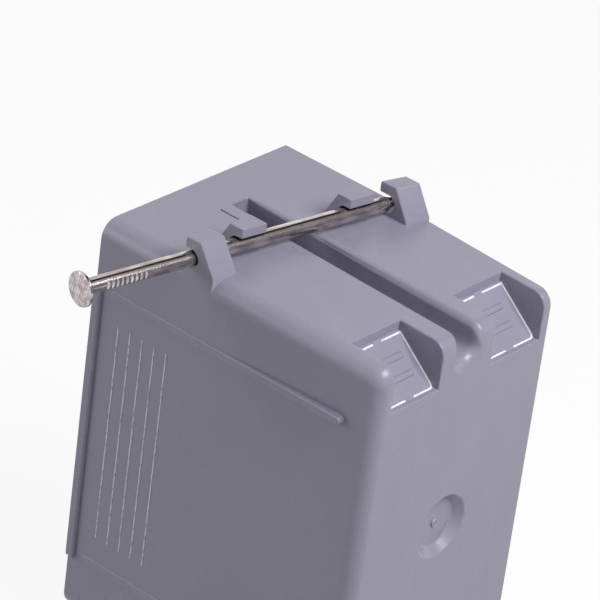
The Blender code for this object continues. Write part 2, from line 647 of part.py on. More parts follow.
def build_nail(name, end, parts, cutters, steel):
    """Turned nail, lying in its guides with the head at the room side."""
    bm = bmesh.new()
    verts = [bm.verts.new((radius, 0, -length)) for radius, length in nail_profile()]
    for first, second in zip(verts, verts[1:]):
        bm.edges.new((first, second))
    mesh = bpy.data.meshes.new(name)
    bm.to_mesh(mesh)
    bm.free()
    nail = bpy.data.objects.new(name, mesh)
    parts.objects.link(nail)
    screw = nail.modifiers.new("turned", "SCREW")
    screw.axis = "Z"
    screw.angle = 2 * math.pi
    screw.steps = screw.render_steps = 24
    screw.use_merge_vertices = True
    screw.merge_threshold = 0.00005
    screw.use_smooth_shade = True

    # Local -Z runs down the nail, from the head towards the stud
    head_x = BODY_WIDTH + NAIL_HEAD_REACH
    run = Vector((-1, NAIL_SKEW, 0)).normalized()
    turn = (-run).to_track_quat("Z", "Y")
    nail.location = (head_x, nail_depth_at(head_x), NAIL_HEIGHT * end)
    nail.rotation_euler = turn.to_euler()

    marks = bpy.data.collections.new(name + "_grip_marks")
    cutters.children.link(marks)
    place = Matrix.Translation(nail.location) @ turn.to_matrix().to_4x4()
    for side in (-1, 1):
        for i in range(GRIP_MARK_COUNT):
            mark = bmesh.new()
            bmesh.ops.create_cone(mark, cap_ends=True, segments=8,
                                  radius1=GRIP_MARK_PITCH * 0.4,
                                  radius2=GRIP_MARK_PITCH * 0.4, depth=NAIL_SHANK)
            reach = NAIL_SHANK / 2 + GRIP_MARK_PITCH * 0.4 - GRIP_MARK_DEPTH
            centre = Vector((side * reach, 0, -GRIP_MARK_START - i * GRIP_MARK_PITCH))
            lay = Matrix.Translation(centre) @ Matrix.Rotation(math.pi / 2, 4, "X")
            bmesh.ops.transform(mark, matrix=place @ lay, verts=mark.verts)
            object_from_bmesh(mark, "grip_mark", marks, tool=True)
    boolean(nail, "DIFFERENCE", marks)
    nail.data.materials.append(steel)
    return nail


def main():
    clear_scene()
    parts = new_collection("new_work_outlet_box")
    tools = new_collection("construction_shapes")
    plastic = new_material("grey_plastic", (0.30, 0.29, 0.36), 0.45, 0.0)
    steel = new_material("zinc_steel", (0.62, 0.60, 0.57), 0.3, 1.0)

    build_box(parts, tools, plastic)
    for label, end in ENDS.items():
        build_nail("nail_" + label, end, parts, tools, steel)
    for obj in parts.objects:
        obj.data.shade_smooth()
        obj.data.set_sharp_from_angle(angle=math.radians(32))

    rim_frame = bpy.data.objects.new("rim_frame", None)
    rim_frame.location = (0, -WALLBOARD, 0)
    for obj in list(parts.objects) + list(tools.all_objects):
        obj.parent = rim_frame
    parts.objects.link(rim_frame)


main()
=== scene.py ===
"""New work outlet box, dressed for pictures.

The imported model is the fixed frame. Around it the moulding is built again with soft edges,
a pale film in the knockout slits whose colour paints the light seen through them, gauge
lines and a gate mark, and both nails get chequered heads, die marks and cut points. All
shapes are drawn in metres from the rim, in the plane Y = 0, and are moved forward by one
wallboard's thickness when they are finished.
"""

import json
import logging
import math
from collections.abc import Callable
from dataclasses import dataclass, field
from enum import Enum

import bmesh
import bpy
from mathutils import Matrix, Vector, noise

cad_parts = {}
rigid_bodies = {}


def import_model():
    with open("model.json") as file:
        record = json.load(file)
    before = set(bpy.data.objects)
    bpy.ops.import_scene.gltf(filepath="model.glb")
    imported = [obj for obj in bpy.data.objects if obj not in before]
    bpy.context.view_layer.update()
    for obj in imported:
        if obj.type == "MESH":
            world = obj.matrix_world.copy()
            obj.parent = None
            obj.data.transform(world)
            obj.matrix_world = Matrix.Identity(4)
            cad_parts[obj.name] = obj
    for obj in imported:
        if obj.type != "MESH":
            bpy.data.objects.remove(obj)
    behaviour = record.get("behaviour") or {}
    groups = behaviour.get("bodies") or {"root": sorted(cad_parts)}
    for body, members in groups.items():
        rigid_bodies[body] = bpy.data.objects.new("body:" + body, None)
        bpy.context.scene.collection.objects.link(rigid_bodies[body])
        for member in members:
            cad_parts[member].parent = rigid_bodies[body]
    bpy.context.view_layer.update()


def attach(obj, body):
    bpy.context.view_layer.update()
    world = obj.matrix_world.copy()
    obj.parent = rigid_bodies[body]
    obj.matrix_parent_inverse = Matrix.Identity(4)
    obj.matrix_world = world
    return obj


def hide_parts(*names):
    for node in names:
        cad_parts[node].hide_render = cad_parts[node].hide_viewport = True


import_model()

BMesh, BMFace = bmesh.types.BMesh, bmesh.types.BMFace
BMEdge, BMVert = bmesh.types.BMEdge, bmesh.types.BMVert
Socket = bpy.types.NodeSocket
Pair = tuple[float, float]
Triple = tuple[float, float, float]

MM = 0.001
# The rim stands level with the wallboard, in front of the stud's front edge
WALLBOARD = 12.7 * MM
RIM_PLACE = Vector((0.0, -WALLBOARD, 0.0))
# How far cutters reach past the walls that they open, upwards and along the depth
PAST_FACES = 4 * MM
PAST_ENDS = 3 * MM
# Corners nearer than this are one corner, after a carving and after a turn
MERGE = 0.01 * MM
FINE_MERGE = 0.002 * MM
X_AXIS, Y_AXIS, Z_AXIS = Vector((1, 0, 0)), Vector((0, 1, 0)), Vector((0, 0, 1))
QUARTER_TURN = math.pi / 2
FLAT_ANGLE = math.radians(0.6)
FORWARD = Matrix.Rotation(QUARTER_TURN, 4, "X")
BACKWARD = Matrix.Rotation(-QUARTER_TURN, 4, "X")
LOG = logging.getLogger("outlet_box")


class End(Enum):
    """The two mirrored ends of the box."""

    TOP = 1
    BOTTOM = -1

    @property
    def label(self) -> str:
        """Name of the end for its pieces."""
        return self.name.lower()


class Cut(Enum):
    """Boolean operations between solids."""

    REMOVE = "DIFFERENCE"
    KEEP = "INTERSECT"


class Facing(Enum):
    """Side towards which a nail seat is open."""

    FRONT = -1
    BACK = 1


# Finishes


class Nodes:
    """Small helper that lays out a material's node tree."""

    def __init__(self, material: bpy.types.Material) -> None:
        """Start on a fresh node tree.

        Args:
            material: The material whose nodes are laid out.
        """
        material.use_nodes = True
        self.tree = material.node_tree
        self.tree.nodes.clear()
        self.shader = self.add("ShaderNodeBsdfPrincipled")
        self.surface = self.add("ShaderNodeOutputMaterial").inputs["Surface"]
        self.link(self.shader.outputs[0], self.surface)
        self.place = self.add("ShaderNodeTexCoord").outputs["Object"]

    def add(self, kind: str, **settings: object) -> bpy.types.Node:
        """Add a node.

        Args:
            kind: Name of the node's type.
            **settings: Properties set on the node.

        Returns:
            The new node.
        """
        node = self.tree.nodes.new(kind)
        for name, value in settings.items():
            setattr(node, name, value)
        return node

    def link(self, source: Socket, target: Socket) -> None:
        """Join two sockets."""
        self.tree.links.new(source, target)

    def mapped(self, scale: Triple, turn: float) -> Socket:
        """Object coordinates, turned about the vertical and then scaled.

        Args:
            scale: Factors along the turned axes.
            turn: Angle of the turn, in radians.

        Returns:
            The vector socket.
        """
        turned = self.add("ShaderNodeMapping", vector_type="POINT")
        turned.inputs["Rotation"].default_value = (0.0, 0.0, turn)
        self.link(self.place, turned.inputs["Vector"])
        scaled = self.add("ShaderNodeMapping", vector_type="POINT")
        scaled.inputs["Scale"].default_value = scale
        self.link(turned.outputs[0], scaled.inputs["Vector"])
        return scaled.outputs[0]

    def noise(self, scale: float, detail: float, where: Socket | None = None) -> Socket:
        """Noise value on the object's coordinates.

        Args:
            scale: Features in each metre.
            detail: Octaves of finer noise.
            where: Coordinates to read instead of the object's own.

        Returns:
            The value socket.
        """
        node = self.add("ShaderNodeTexNoise")
        node.inputs["Scale"].default_value = scale
        node.inputs["Detail"].default_value = detail
        self.link(where or self.place, node.inputs["Vector"])
        return node.outputs[0]

    def spread(self, value: Socket, low: float, high: float, to_low: float = 0.0,
               to_high: float = 1.0) -> Socket:
        """Map a range of values onto another, clamped at its ends.

        Args:
            value: The socket that is read.
            low: Value that becomes to_low.
            high: Value that becomes to_high.
            to_low: Lower end of the result.
            to_high: Upper end of the result.

        Returns:
            The mapped value socket.
        """
        node = self.add("ShaderNodeMapRange")
        for name, number in (("From Min", low), ("From Max", high),
                             ("To Min", to_low), ("To Max", to_high)):
            node.inputs[name].default_value = number
        self.link(value, node.inputs["Value"])
        return node.outputs[0]

    def blend(self, share: Socket, first: Triple | Socket,
              second: Triple | Socket) -> Socket:
        """Mix two colours.

        Args:
            share: How much of the second colour shows.
            first: Colour tuple or socket at a share of 0.
            second: Colour tuple or socket at a share of 1.

        Returns:
            The colour socket.
        """
        node = self.add("ShaderNodeMix", data_type="RGBA")
        self.link(share, node.inputs["Factor"])
        for socket, colour in ((node.inputs[6], first), (node.inputs[7], second)):
            if isinstance(colour, tuple):
                socket.default_value = (*colour, 1.0)
            else:
                self.link(colour, socket)
        return node.outputs[2]

    def combine(self, operation: str, first: Socket, second: Socket | float) -> Socket:
        """Work out one number from two.

        Args:
            operation: Name of the sum.
            first: Left-hand value.
            second: Right-hand value, a socket or a number.

        Returns:
            The value socket.
        """
        node = self.add("ShaderNodeMath", operation=operation)
        self.link(first, node.inputs[0])
        if isinstance(second, (int, float)):
            node.inputs[1].default_value = second
        else:
            self.link(second, node.inputs[1])
        return node.outputs[0]

    def bump(self, height: Socket, distance: float, strength: float) -> None:
        """Give the shader a bumped normal, on top of any bump before it.

        Args:
            height: Value that is read as height.
            distance: Height of a full step, in metres.
            strength: Share of the bump that shows.
        """
        node = self.add("ShaderNodeBump")
        node.inputs["Strength"].default_value = strength
        node.inputs["Distance"].default_value = distance
        self.link(height, node.inputs["Height"])
        normal = self.shader.inputs["Normal"]
        if normal.is_linked:
            self.link(normal.links[0].from_socket, node.inputs["Normal"])
        self.link(node.outputs[0], normal)


@dataclass(frozen=True)
class Finish:
    """A finish, which lays out the nodes of its own material."""

    name: str

    def lay_out(self, nodes: Nodes) -> None:
        """Lay out the nodes, as each finish does in its own way.

        Args:
            nodes: The fresh node tree of the material.
        """
        raise NotImplementedError

    def build(self) -> bpy.types.Material:
        """Make the material.

        Returns:
            The finished material.
        """
        material = bpy.data.materials.new(self.name)
        self.lay_out(Nodes(material))
        return material


@dataclass(frozen=True)
class MouldedPlastic(Finish):
    """Satin moulding plastic with faint flow marks and a fine skin."""

    colour: Triple
    pale: Triple
    deep: Triple
    roughness: float
    slot: str = "grey_plastic"
    ior: float = 1.5
    specular: float = 0.5
    cloud_scale: float = 38
    streak_scale: Triple = (240, 26, 60)
    streak_turn: float = 0.35
    streak_share: float = 0.35
    sheen_scale: float = 160
    smoother: float = 0.05
    rougher: float = 0.06
    skin_scale: float = 420
    skin_height: float = 0.03 * MM
    streak_height: float = 0.05 * MM
    bump_share: float = 0.12

    def lay_out(self, nodes: Nodes) -> None:
        """Clouds and streaks in the colour, a changing sheen and a fine skin.

        Args:
            nodes: The fresh node tree of the material.
        """
        shader = nodes.shader
        shader.inputs["IOR"].default_value = self.ior
        shader.inputs["Specular IOR Level"].default_value = self.specular

        clouds = nodes.spread(nodes.noise(self.cloud_scale, 3), 0.3, 0.7)
        streaks = nodes.noise(1.0, 3, nodes.mapped(self.streak_scale, self.streak_turn))
        flow = nodes.spread(streaks, 0.35, 0.75, 0.0, self.streak_share)
        base = nodes.blend(clouds, self.deep, self.colour)
        base = nodes.blend(flow, base, self.pale)
        nodes.link(base, shader.inputs["Base Color"])

        sheen = nodes.spread(nodes.noise(self.sheen_scale, 4), 0.3, 0.7,
                             self.roughness - self.smoother, self.roughness + self.rougher)
        nodes.link(sheen, shader.inputs["Roughness"])
        nodes.bump(nodes.noise(self.skin_scale, 1), self.skin_height, self.bump_share)
        nodes.bump(streaks, self.streak_height, self.bump_share)


@dataclass(frozen=True)
class RubbedPlastic(Finish):
    """Whitened plastic of the gauge lines, and pale film in the slits whose colour paints
    the light seen through them; rubbed through in places.
    """

    colour: Triple
    rubbed: Triple
    slot: str = "grey_plastic"
    roughness: float = 0.5
    rub_scale: float = 900
    grain_scale: float = 3000
    grain_height: float = 0.05 * MM
    bump_share: float = 0.5

    def lay_out(self, nodes: Nodes) -> None:
        """Rubbed spots in the colour and a fine grain.

        Args:
            nodes: The fresh node tree of the material.
        """
        worn = nodes.spread(nodes.noise(self.rub_scale, 3), 0.48, 0.66)
        nodes.link(nodes.blend(worn, self.colour, self.rubbed),
                   nodes.shader.inputs["Base Color"])
        nodes.shader.inputs["Roughness"].default_value = self.roughness
        nodes.bump(nodes.noise(self.grain_scale, 2), self.grain_height, self.bump_share)


@dataclass(frozen=True)
class PlatedSteel(Finish):
    """Bright plated wire with drawing lines along it."""

    colour: Triple
    dull: Triple
    grime: Triple
    roughness: float
    skew: float
    slot: str = "zinc_steel"
    # Reach of the darkening in recesses, which is partly grime and partly painted shade
    recess: float = 2.2 * MM
    recess_samples: int = 6
    line_scale: Triple = (60, 2600, 2600)
    bloom_scale: Triple = (260, 700, 700)
    line_roughness: float = 0.04
    bloom_roughness: float = 0.05
    grain_scale: float = 1500
    bump_height: float = 0.03 * MM
    line_share: float = 0.5
    grain_share: float = 0.2

    def lay_out(self, nodes: Nodes) -> None:
        """Mottled plating with lines drawn along the wire. Its colour is darkened in
        recesses and close to other parts, partly by grime and partly by painted shade.

        Args:
            nodes: The fresh node tree of the material.
        """
        shader = nodes.shader
        shader.inputs["Metallic"].default_value = 1.0
        along = math.atan(self.skew)
        lines = nodes.noise(1.0, 3, nodes.mapped(self.line_scale, along))
        bloom = nodes.noise(1.0, 4, nodes.mapped(self.bloom_scale, along))
        base = nodes.blend(nodes.spread(bloom, 0.42, 0.62), self.dull, self.colour)
        # Painted shade, partly grime: ambient occlusion darkens the colour in recesses and
        # under the nail
        recess = nodes.add("ShaderNodeAmbientOcclusion", samples=self.recess_samples)
        recess.inputs["Distance"].default_value = self.recess
        open_share = nodes.spread(recess.outputs["AO"], 0.35, 0.85)
        nodes.link(nodes.blend(open_share, self.grime, base), shader.inputs["Base Color"])
        rough = nodes.combine(
            "ADD", nodes.spread(lines, 0.3, 0.7, 0.0, self.line_roughness),
            nodes.spread(bloom, 0.35, 0.65, self.roughness + self.bloom_roughness,
                         self.roughness))
        nodes.link(rough, shader.inputs["Roughness"])
        nodes.bump(lines, self.bump_height, self.line_share)
        nodes.bump(nodes.noise(self.grain_scale, 3), self.bump_height, self.grain_share)


@dataclass(frozen=True)
class StudioPaper(Finish):
    """Pale floor that stays white to the camera and keeps a soft shadow."""

    colour: Triple
    seen_colour: Triple
    shadow_share: float
    roughness: float = 0.9
    specular: float = 0.1

    def lay_out(self, nodes: Nodes) -> None:
        """Matt paper for light, and mostly white glow for the rays that see it.

        Args:
            nodes: The fresh node tree of the material.
        """
        nodes.shader.inputs["Roughness"].default_value = self.roughness
        nodes.shader.inputs["Specular IOR Level"].default_value = self.specular
        rays = nodes.add("ShaderNodeLightPath")
        seen = nodes.combine("MAXIMUM", rays.outputs["Is Camera Ray"],
                             rays.outputs["Is Glossy Ray"])
        seen = nodes.combine("MAXIMUM", seen, rays.outputs["Is Transmission Ray"])
        nodes.link(nodes.blend(seen, self.colour, self.seen_colour),
                   nodes.shader.inputs["Base Color"])
        share = nodes.combine("MULTIPLY", seen, 1.0 - self.shadow_share)
        glow = nodes.add("ShaderNodeEmission")
        mix = nodes.add("ShaderNodeMixShader")
        nodes.link(share, mix.inputs[0])
        nodes.link(nodes.shader.outputs[0], mix.inputs[1])
        nodes.link(glow.outputs[0], mix.inputs[2])
        nodes.link(mix.outputs[0], nodes.surface)


@dataclass(frozen=True)
class CardBoard(Finish):
    """Glowing board of one even brightness, which paints a reflection where the nails mirror
    it.
    """

    brightness: float

    def lay_out(self, nodes: Nodes) -> None:
        """Black board with an even glow, a painted reflection.

        Args:
            nodes: The fresh node tree of the material.
        """
        shade = (self.brightness, self.brightness, self.brightness, 1.0)
        for name, value in (("Base Color", (0.0, 0.0, 0.0, 1.0)),
                            ("Specular IOR Level", 0.0),
                            ("Emission Color", shade), ("Emission Strength", 1.0)):
            nodes.shader.inputs[name].default_value = value


# Mesh tools


class Outline:
    """Flat outline that grows in a bmesh from one start point, by lines and arcs."""

    def __init__(self, mesh: BMesh, start: Vector) -> None:
        """Put down the first point.

        Args:
            mesh: The bmesh that takes the outline.
            start: Where the outline begins.
        """
        self.mesh = mesh
        self.before = set(mesh.edges)
        self.first = self.tip = mesh.verts.new(start)

    def line(self, to: Vector) -> "Outline":
        """Draw a straight line.

        Args:
            to: Where it ends.

        Returns:
            The outline itself.
        """
        grown = bmesh.ops.extrude_vert_indiv(self.mesh, verts=[self.tip])
        self.tip = grown["verts"][0]
        bmesh.ops.translate(self.mesh, vec=to - self.tip.co, verts=[self.tip])
        return self

    def arc(self, centre: Vector, axis: Vector, angle: float, steps: int) -> "Outline":
        """Draw an arc.

        Args:
            centre: Its centre.
            axis: Axis that it turns about.
            angle: Its angle, in radians.
            steps: Number of straight steps.

        Returns:
            The outline itself.
        """
        turned = bmesh.ops.spin(self.mesh, geom=[self.tip], cent=centre, axis=axis,
                                angle=angle, steps=steps, use_duplicate=False)
        self.tip = next(e for e in turned["geom_last"] if isinstance(e, BMVert))
        return self

    def edges(self, closed: bool = True) -> list[BMEdge]:
        """Finish the outline.

        Args:
            closed: Whether the last point is joined to the first.

        Returns:
            All its edges.
        """
        if closed:
            self.mesh.edges.new((self.tip, self.first))
        return [e for e in self.mesh.edges if e not in self.before]


def fill(mesh: BMesh, edges: list[BMEdge]) -> BMFace:
    """Fill a closed outline with one face."""
    return bmesh.ops.contextual_create(mesh, geom=edges)["faces"][0]


def polygon(points: list[Pair], x: float) -> BMesh:
    """Face across the box with corners at (depth, height) points.

    Args:
        points: The corners.
        x: Where it stands across the box.

    Returns:
        A new bmesh with that face.
    """
    mesh = bmesh.new()
    mesh.faces.new([mesh.verts.new((x, y, z)) for y, z in points])
    return mesh


def move(mesh: BMesh, step: Triple | Vector) -> None:
    """Move a whole bmesh by a step."""
    bmesh.ops.translate(mesh, vec=step, verts=mesh.verts[:])


def laid(mesh: BMesh, lay: Matrix) -> BMesh:
    """Lay a whole bmesh into another frame.

    Args:
        mesh: The bmesh.
        lay: Matrix of the frame.

    Returns:
        The same bmesh.
    """
    bmesh.ops.transform(mesh, matrix=lay, verts=mesh.verts[:])
    return mesh


def thicken(mesh: BMesh, along: Vector) -> BMesh:
    """Turn flat faces into a closed solid.

    Args:
        mesh: A bmesh that holds only flat faces.
        along: How far and in which direction they are carried.

    Returns:
        The same bmesh.
    """
    grown = bmesh.ops.extrude_face_region(mesh, geom=mesh.faces[:], use_keep_orig=True)
    moved = [e for e in grown["geom"] if isinstance(e, BMVert)]
    bmesh.ops.translate(mesh, vec=along, verts=moved)
    bmesh.ops.recalc_face_normals(mesh, faces=mesh.faces[:])
    return mesh


def block(low: Triple | Vector, high: Triple | Vector) -> BMesh:
    """Box between two corners.

    Args:
        low: The corner with the lowest coordinates.
        high: The corner with the highest ones.

    Returns:
        The solid.
    """
    low_corner, high_corner = Vector(low), Vector(high)
    mesh = bmesh.new()
    bmesh.ops.create_cube(mesh, size=1.0)
    bmesh.ops.scale(mesh, vec=high_corner - low_corner, verts=mesh.verts[:])
    move(mesh, (low_corner + high_corner) / 2)
    return mesh


def turned(profile: Outline, steps: int) -> BMesh:
    """Revolve an open half outline round the Z axis.

    Args:
        profile: The half outline, from the axis to the axis.
        steps: Steps in the full turn.

    Returns:
        The closed bmesh.
    """
    mesh = profile.mesh
    edges = profile.edges(closed=False)
    verts = list(dict.fromkeys(v for e in edges for v in e.verts))
    bmesh.ops.spin(mesh, geom=edges + verts, cent=(0, 0, 0), axis=Z_AXIS,
                   angle=2 * math.pi, steps=steps, use_merge=True)
    bmesh.ops.remove_doubles(mesh, verts=mesh.verts[:], dist=FINE_MERGE)
    bmesh.ops.recalc_face_normals(mesh, faces=mesh.faces[:])
    return mesh


def lathe(points: list[Pair], steps: int) -> BMesh:
    """Revolve a half outline of straight lines.

    Args:
        points: Its (radius, height) corners, from the axis to the axis.
        steps: Steps in the full turn.

    Returns:
        The closed bmesh.
    """
    first, *others = (Vector((radius, 0, height)) for radius, height in points)
    outline = Outline(bmesh.new(), first)
    for corner in others:
        outline.line(corner)
    return turned(outline, steps)


def slot_face(first: Vector, last: Vector, axis: Vector, radius: float) -> BMesh:
    """Flat face with two straight sides and two round ends.

    Args:
        first: Centre of one round end, where the outline starts.
        last: Centre of the other end.
        axis: Axis square to the face, which the ends turn about.
        radius: Radius of the ends.

    Returns:
        A new bmesh with that face.
    """
    side = axis.cross((last - first).normalized()) * radius
    mesh = bmesh.new()
    outline = Outline(mesh, first + side)
    outline.arc(first, axis, math.pi, 10)
    outline.line(last - side)
    outline.arc(last, axis, math.pi, 10)
    fill(mesh, outline.edges())
    return mesh


def skinned(mesh: BMesh, rings: list[list[BMEdge]]) -> BMesh:
    """Join a row of closed outlines into a solid with flat ends.

    Args:
        mesh: The bmesh that holds the outlines.
        rings: The edges of each outline, in order.

    Returns:
        The same bmesh.
    """
    for first, second in zip(rings, rings[1:]):
        bmesh.ops.bridge_loops(mesh, edges=first + second)
    fill(mesh, rings[0])
    fill(mesh, rings[-1])
    bmesh.ops.recalc_face_normals(mesh, faces=mesh.faces[:])
    return mesh


def round_edges(mesh: BMesh, edges: list[BMEdge], width: float, segments: int,
                clamp: bool = False) -> None:
    """Round chosen edges.

    Args:
        mesh: The solid.
        edges: The edges that are rounded.
        width: Width of the rounding.
        segments: Steps across it.
        clamp: Whether roundings give way where they would meet.
    """
    bmesh.ops.bevel(mesh, geom=edges, offset=width, offset_type="OFFSET",
                    segments=segments, profile=0.5, affect="EDGES", material=-1,
                    clamp_overlap=clamp)


def soften(mesh: BMesh, width: float, segments: int = 3, angle: float = 30.0) -> BMesh:
    """Round every edge that is sharper than an angle.

    Args:
        mesh: The solid.
        width: Width of the rounding.
        segments: Steps across it.
        angle: Smallest angle that is rounded, in degrees.

    Returns:
        The same bmesh.
    """
    limit = math.radians(angle)
    sharp = [e for e in mesh.edges if e.is_manifold and e.calc_face_angle(0.0) > limit]
    round_edges(mesh, sharp, width, segments, clamp=True)
    return mesh


def join(*meshes: BMesh) -> BMesh:
    """Put several solids into one bmesh.

    Args:
        *meshes: The solids; all but the first are freed.

    Returns:
        The first bmesh, which now holds them all.
    """
    first = meshes[0]
    for other in meshes[1:]:
        spare = bpy.data.meshes.new("spare")
        other.to_mesh(spare)
        other.free()
        first.from_mesh(spare)
        bpy.data.meshes.remove(spare)
    return first


def for_end(mesh: BMesh, end: End) -> BMesh:
    """Mirror a solid of the top end for the bottom one.

    Args:
        mesh: The solid, as it lies at the top end.
        end: The end that it is for.

    Returns:
        The same bmesh.
    """
    if end is End.BOTTOM:
        bmesh.ops.scale(mesh, vec=(1, 1, -1), verts=mesh.verts[:])
        bmesh.ops.reverse_faces(mesh, faces=mesh.faces[:])
    return mesh


def bare_object(mesh: BMesh, name: str) -> bpy.types.Object:
    """Link a bmesh as an object and free it.

    Args:
        mesh: The bmesh.
        name: Name of the object and its mesh.

    Returns:
        The object, which has no material yet.
    """
    data = bpy.data.meshes.new(name)
    mesh.to_mesh(data)
    mesh.free()
    obj = bpy.data.objects.new(name, data)
    bpy.context.scene.collection.objects.link(obj)
    return obj


def put_in_order(mesh: BMesh) -> None:
    """Sort a bmesh by place, because a carving lists its parts in a changing order.

    Args:
        mesh: The bmesh that is sorted.
    """
    ranked = sorted(mesh.verts, key=lambda vert: vert.co[:])
    places = {vert: i for i, vert in enumerate(ranked)}
    mesh.verts.sort(key=lambda vert: places[vert])
    mesh.verts.index_update()
    for parts in (mesh.edges, mesh.faces):
        ranked = sorted(parts, key=lambda part: sorted(v.index for v in part.verts))
        places = {part: i for i, part in enumerate(ranked)}
        parts.sort(key=lambda part: places[part])
        parts.index_update()


def carved(mesh: BMesh, cut: Cut, tools: list[BMesh]) -> BMesh:
    """Work on a solid with others.

    Args:
        mesh: The solid; it is freed.
        cut: What is done with the tools.
        tools: Closed solids; they are freed.

    Returns:
        A new bmesh.
    """
    body = bare_object(mesh, "carved_body")
    held = bpy.data.collections.new("carving_tools")
    bpy.context.scene.collection.children.link(held)
    for tool in tools:
        obj = bare_object(tool, "carving_tool")
        bpy.context.scene.collection.objects.unlink(obj)
        held.objects.link(obj)
    work = body.modifiers.new("carve", "BOOLEAN")
    work.operation = cut.value
    work.operand_type = "COLLECTION"
    work.collection = held
    work.solver = "EXACT"
    bpy.context.view_layer.update()
    result = bmesh.new()
    result.from_object(body, bpy.context.evaluated_depsgraph_get())
    for obj in [body, *held.objects]:
        data = obj.data
        bpy.data.objects.remove(obj)
        bpy.data.meshes.remove(data)
    bpy.data.collections.remove(held)
    put_in_order(result)
    bmesh.ops.remove_doubles(result, verts=result.verts[:], dist=MERGE)
    bmesh.ops.dissolve_limit(result, angle_limit=FLAT_ANGLE, verts=result.verts[:],
                             edges=result.edges[:], delimit={"NORMAL"})
    return result


@dataclass
class Bench:
    """Where solids become finished pieces of the object."""

    finishes: dict[str, Finish]
    materials: dict[str, bpy.types.Material] = field(default_factory=dict)
    shading_weight: int = 60

    def material(self, finish: str) -> bpy.types.Material:
        """Material of a finish, built once.

        Args:
            finish: Name of the finish.

        Returns:
            The material.
        """
        if finish not in self.materials:
            self.materials[finish] = self.finishes[finish].build()
        return self.materials[finish]

    def finish(self, mesh: BMesh, name: str, finish: str,
               smooth_angle: float = 35.0, replaces: str = "") -> bpy.types.Object:
        """Make a piece of the object.

        Args:
            mesh: Its solid, drawn from the rim; it is freed.
            name: Its name.
            finish: Name of its finish.
            smooth_angle: Edges sharper than this stay crisp, in degrees.
            replaces: CAD node that it stands for, if any.

        Returns:
            The finished object.
        """
        move(mesh, RIM_PLACE)
        obj = bare_object(mesh, name)
        obj.data.materials.append(self.material(finish))
        obj.data.shade_smooth()
        obj.data.set_sharp_from_angle(angle=math.radians(smooth_angle))
        shade = obj.modifiers.new("even_shading", "WEIGHTED_NORMAL")
        shade.keep_sharp = True
        shade.weight = self.shading_weight
        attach(obj, "root")
        if replaces:
            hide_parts(replaces)
        LOG.info("%s: %d faces, %s", name, len(obj.data.polygons), finish)
        return obj


# Sizes that several sub-assemblies share


@dataclass(frozen=True)
class BoxSizes:
    """Outer sizes of the box, measured from the rim."""

    width: float = 56.2 * MM
    depth: float = 74.6 * MM
    half_height: float = 47.45 * MM
    wall: float = 2.2 * MM
    knee: float = 30.7 * MM
    stud_draft: float = 1.0 * MM
    room_draft: float = 1.65 * MM
    end_draft: float = 1.2 * MM
    back_radius: float = 3.4 * MM
    axis_x: float = 27.1 * MM
    screw_height: float = 41.65 * MM

    def end_height(self, depth: float) -> float:
        """Height of the end wall's outer face at a depth."""
        past = max(depth - self.knee, 0.0)
        return self.half_height - self.end_draft * past / (self.depth - self.knee)

    def brow_height(self, depth: float) -> float:
        """Height of the outer surface at a depth, with the rounding of the back edge.

        Args:
            depth: Depth behind the rim.

        Returns:
            The height.
        """
        radius = self.back_radius
        past = min(max(depth - self.depth + radius, 0.0), radius)
        return self.end_height(min(depth, self.depth)) - radius + math.sqrt(
            radius ** 2 - past ** 2)


@dataclass(frozen=True)
class NailLie:
    """How a nail lies across its end of the box."""

    shank: float = 1.7 * MM
    skew: float = 0.18
    depth: float = 24.1 * MM
    height: float = 49.92 * MM
    from_x: float = 56.2 * MM
    clearance: float = 0.3 * MM

    def depth_at(self, x: float) -> float:
        """Depth of the axis where it passes an X."""
        return self.depth + self.skew * (self.from_x - x)

    def run(self, width: float) -> Vector:
        """Step along the nail, away from its head, over a width in X."""
        return Vector((-width, self.skew * width, 0.0))


BOX = BoxSizes()
NAIL = NailLie()
SIDES = ("room", "stud")


# Sub-assemblies


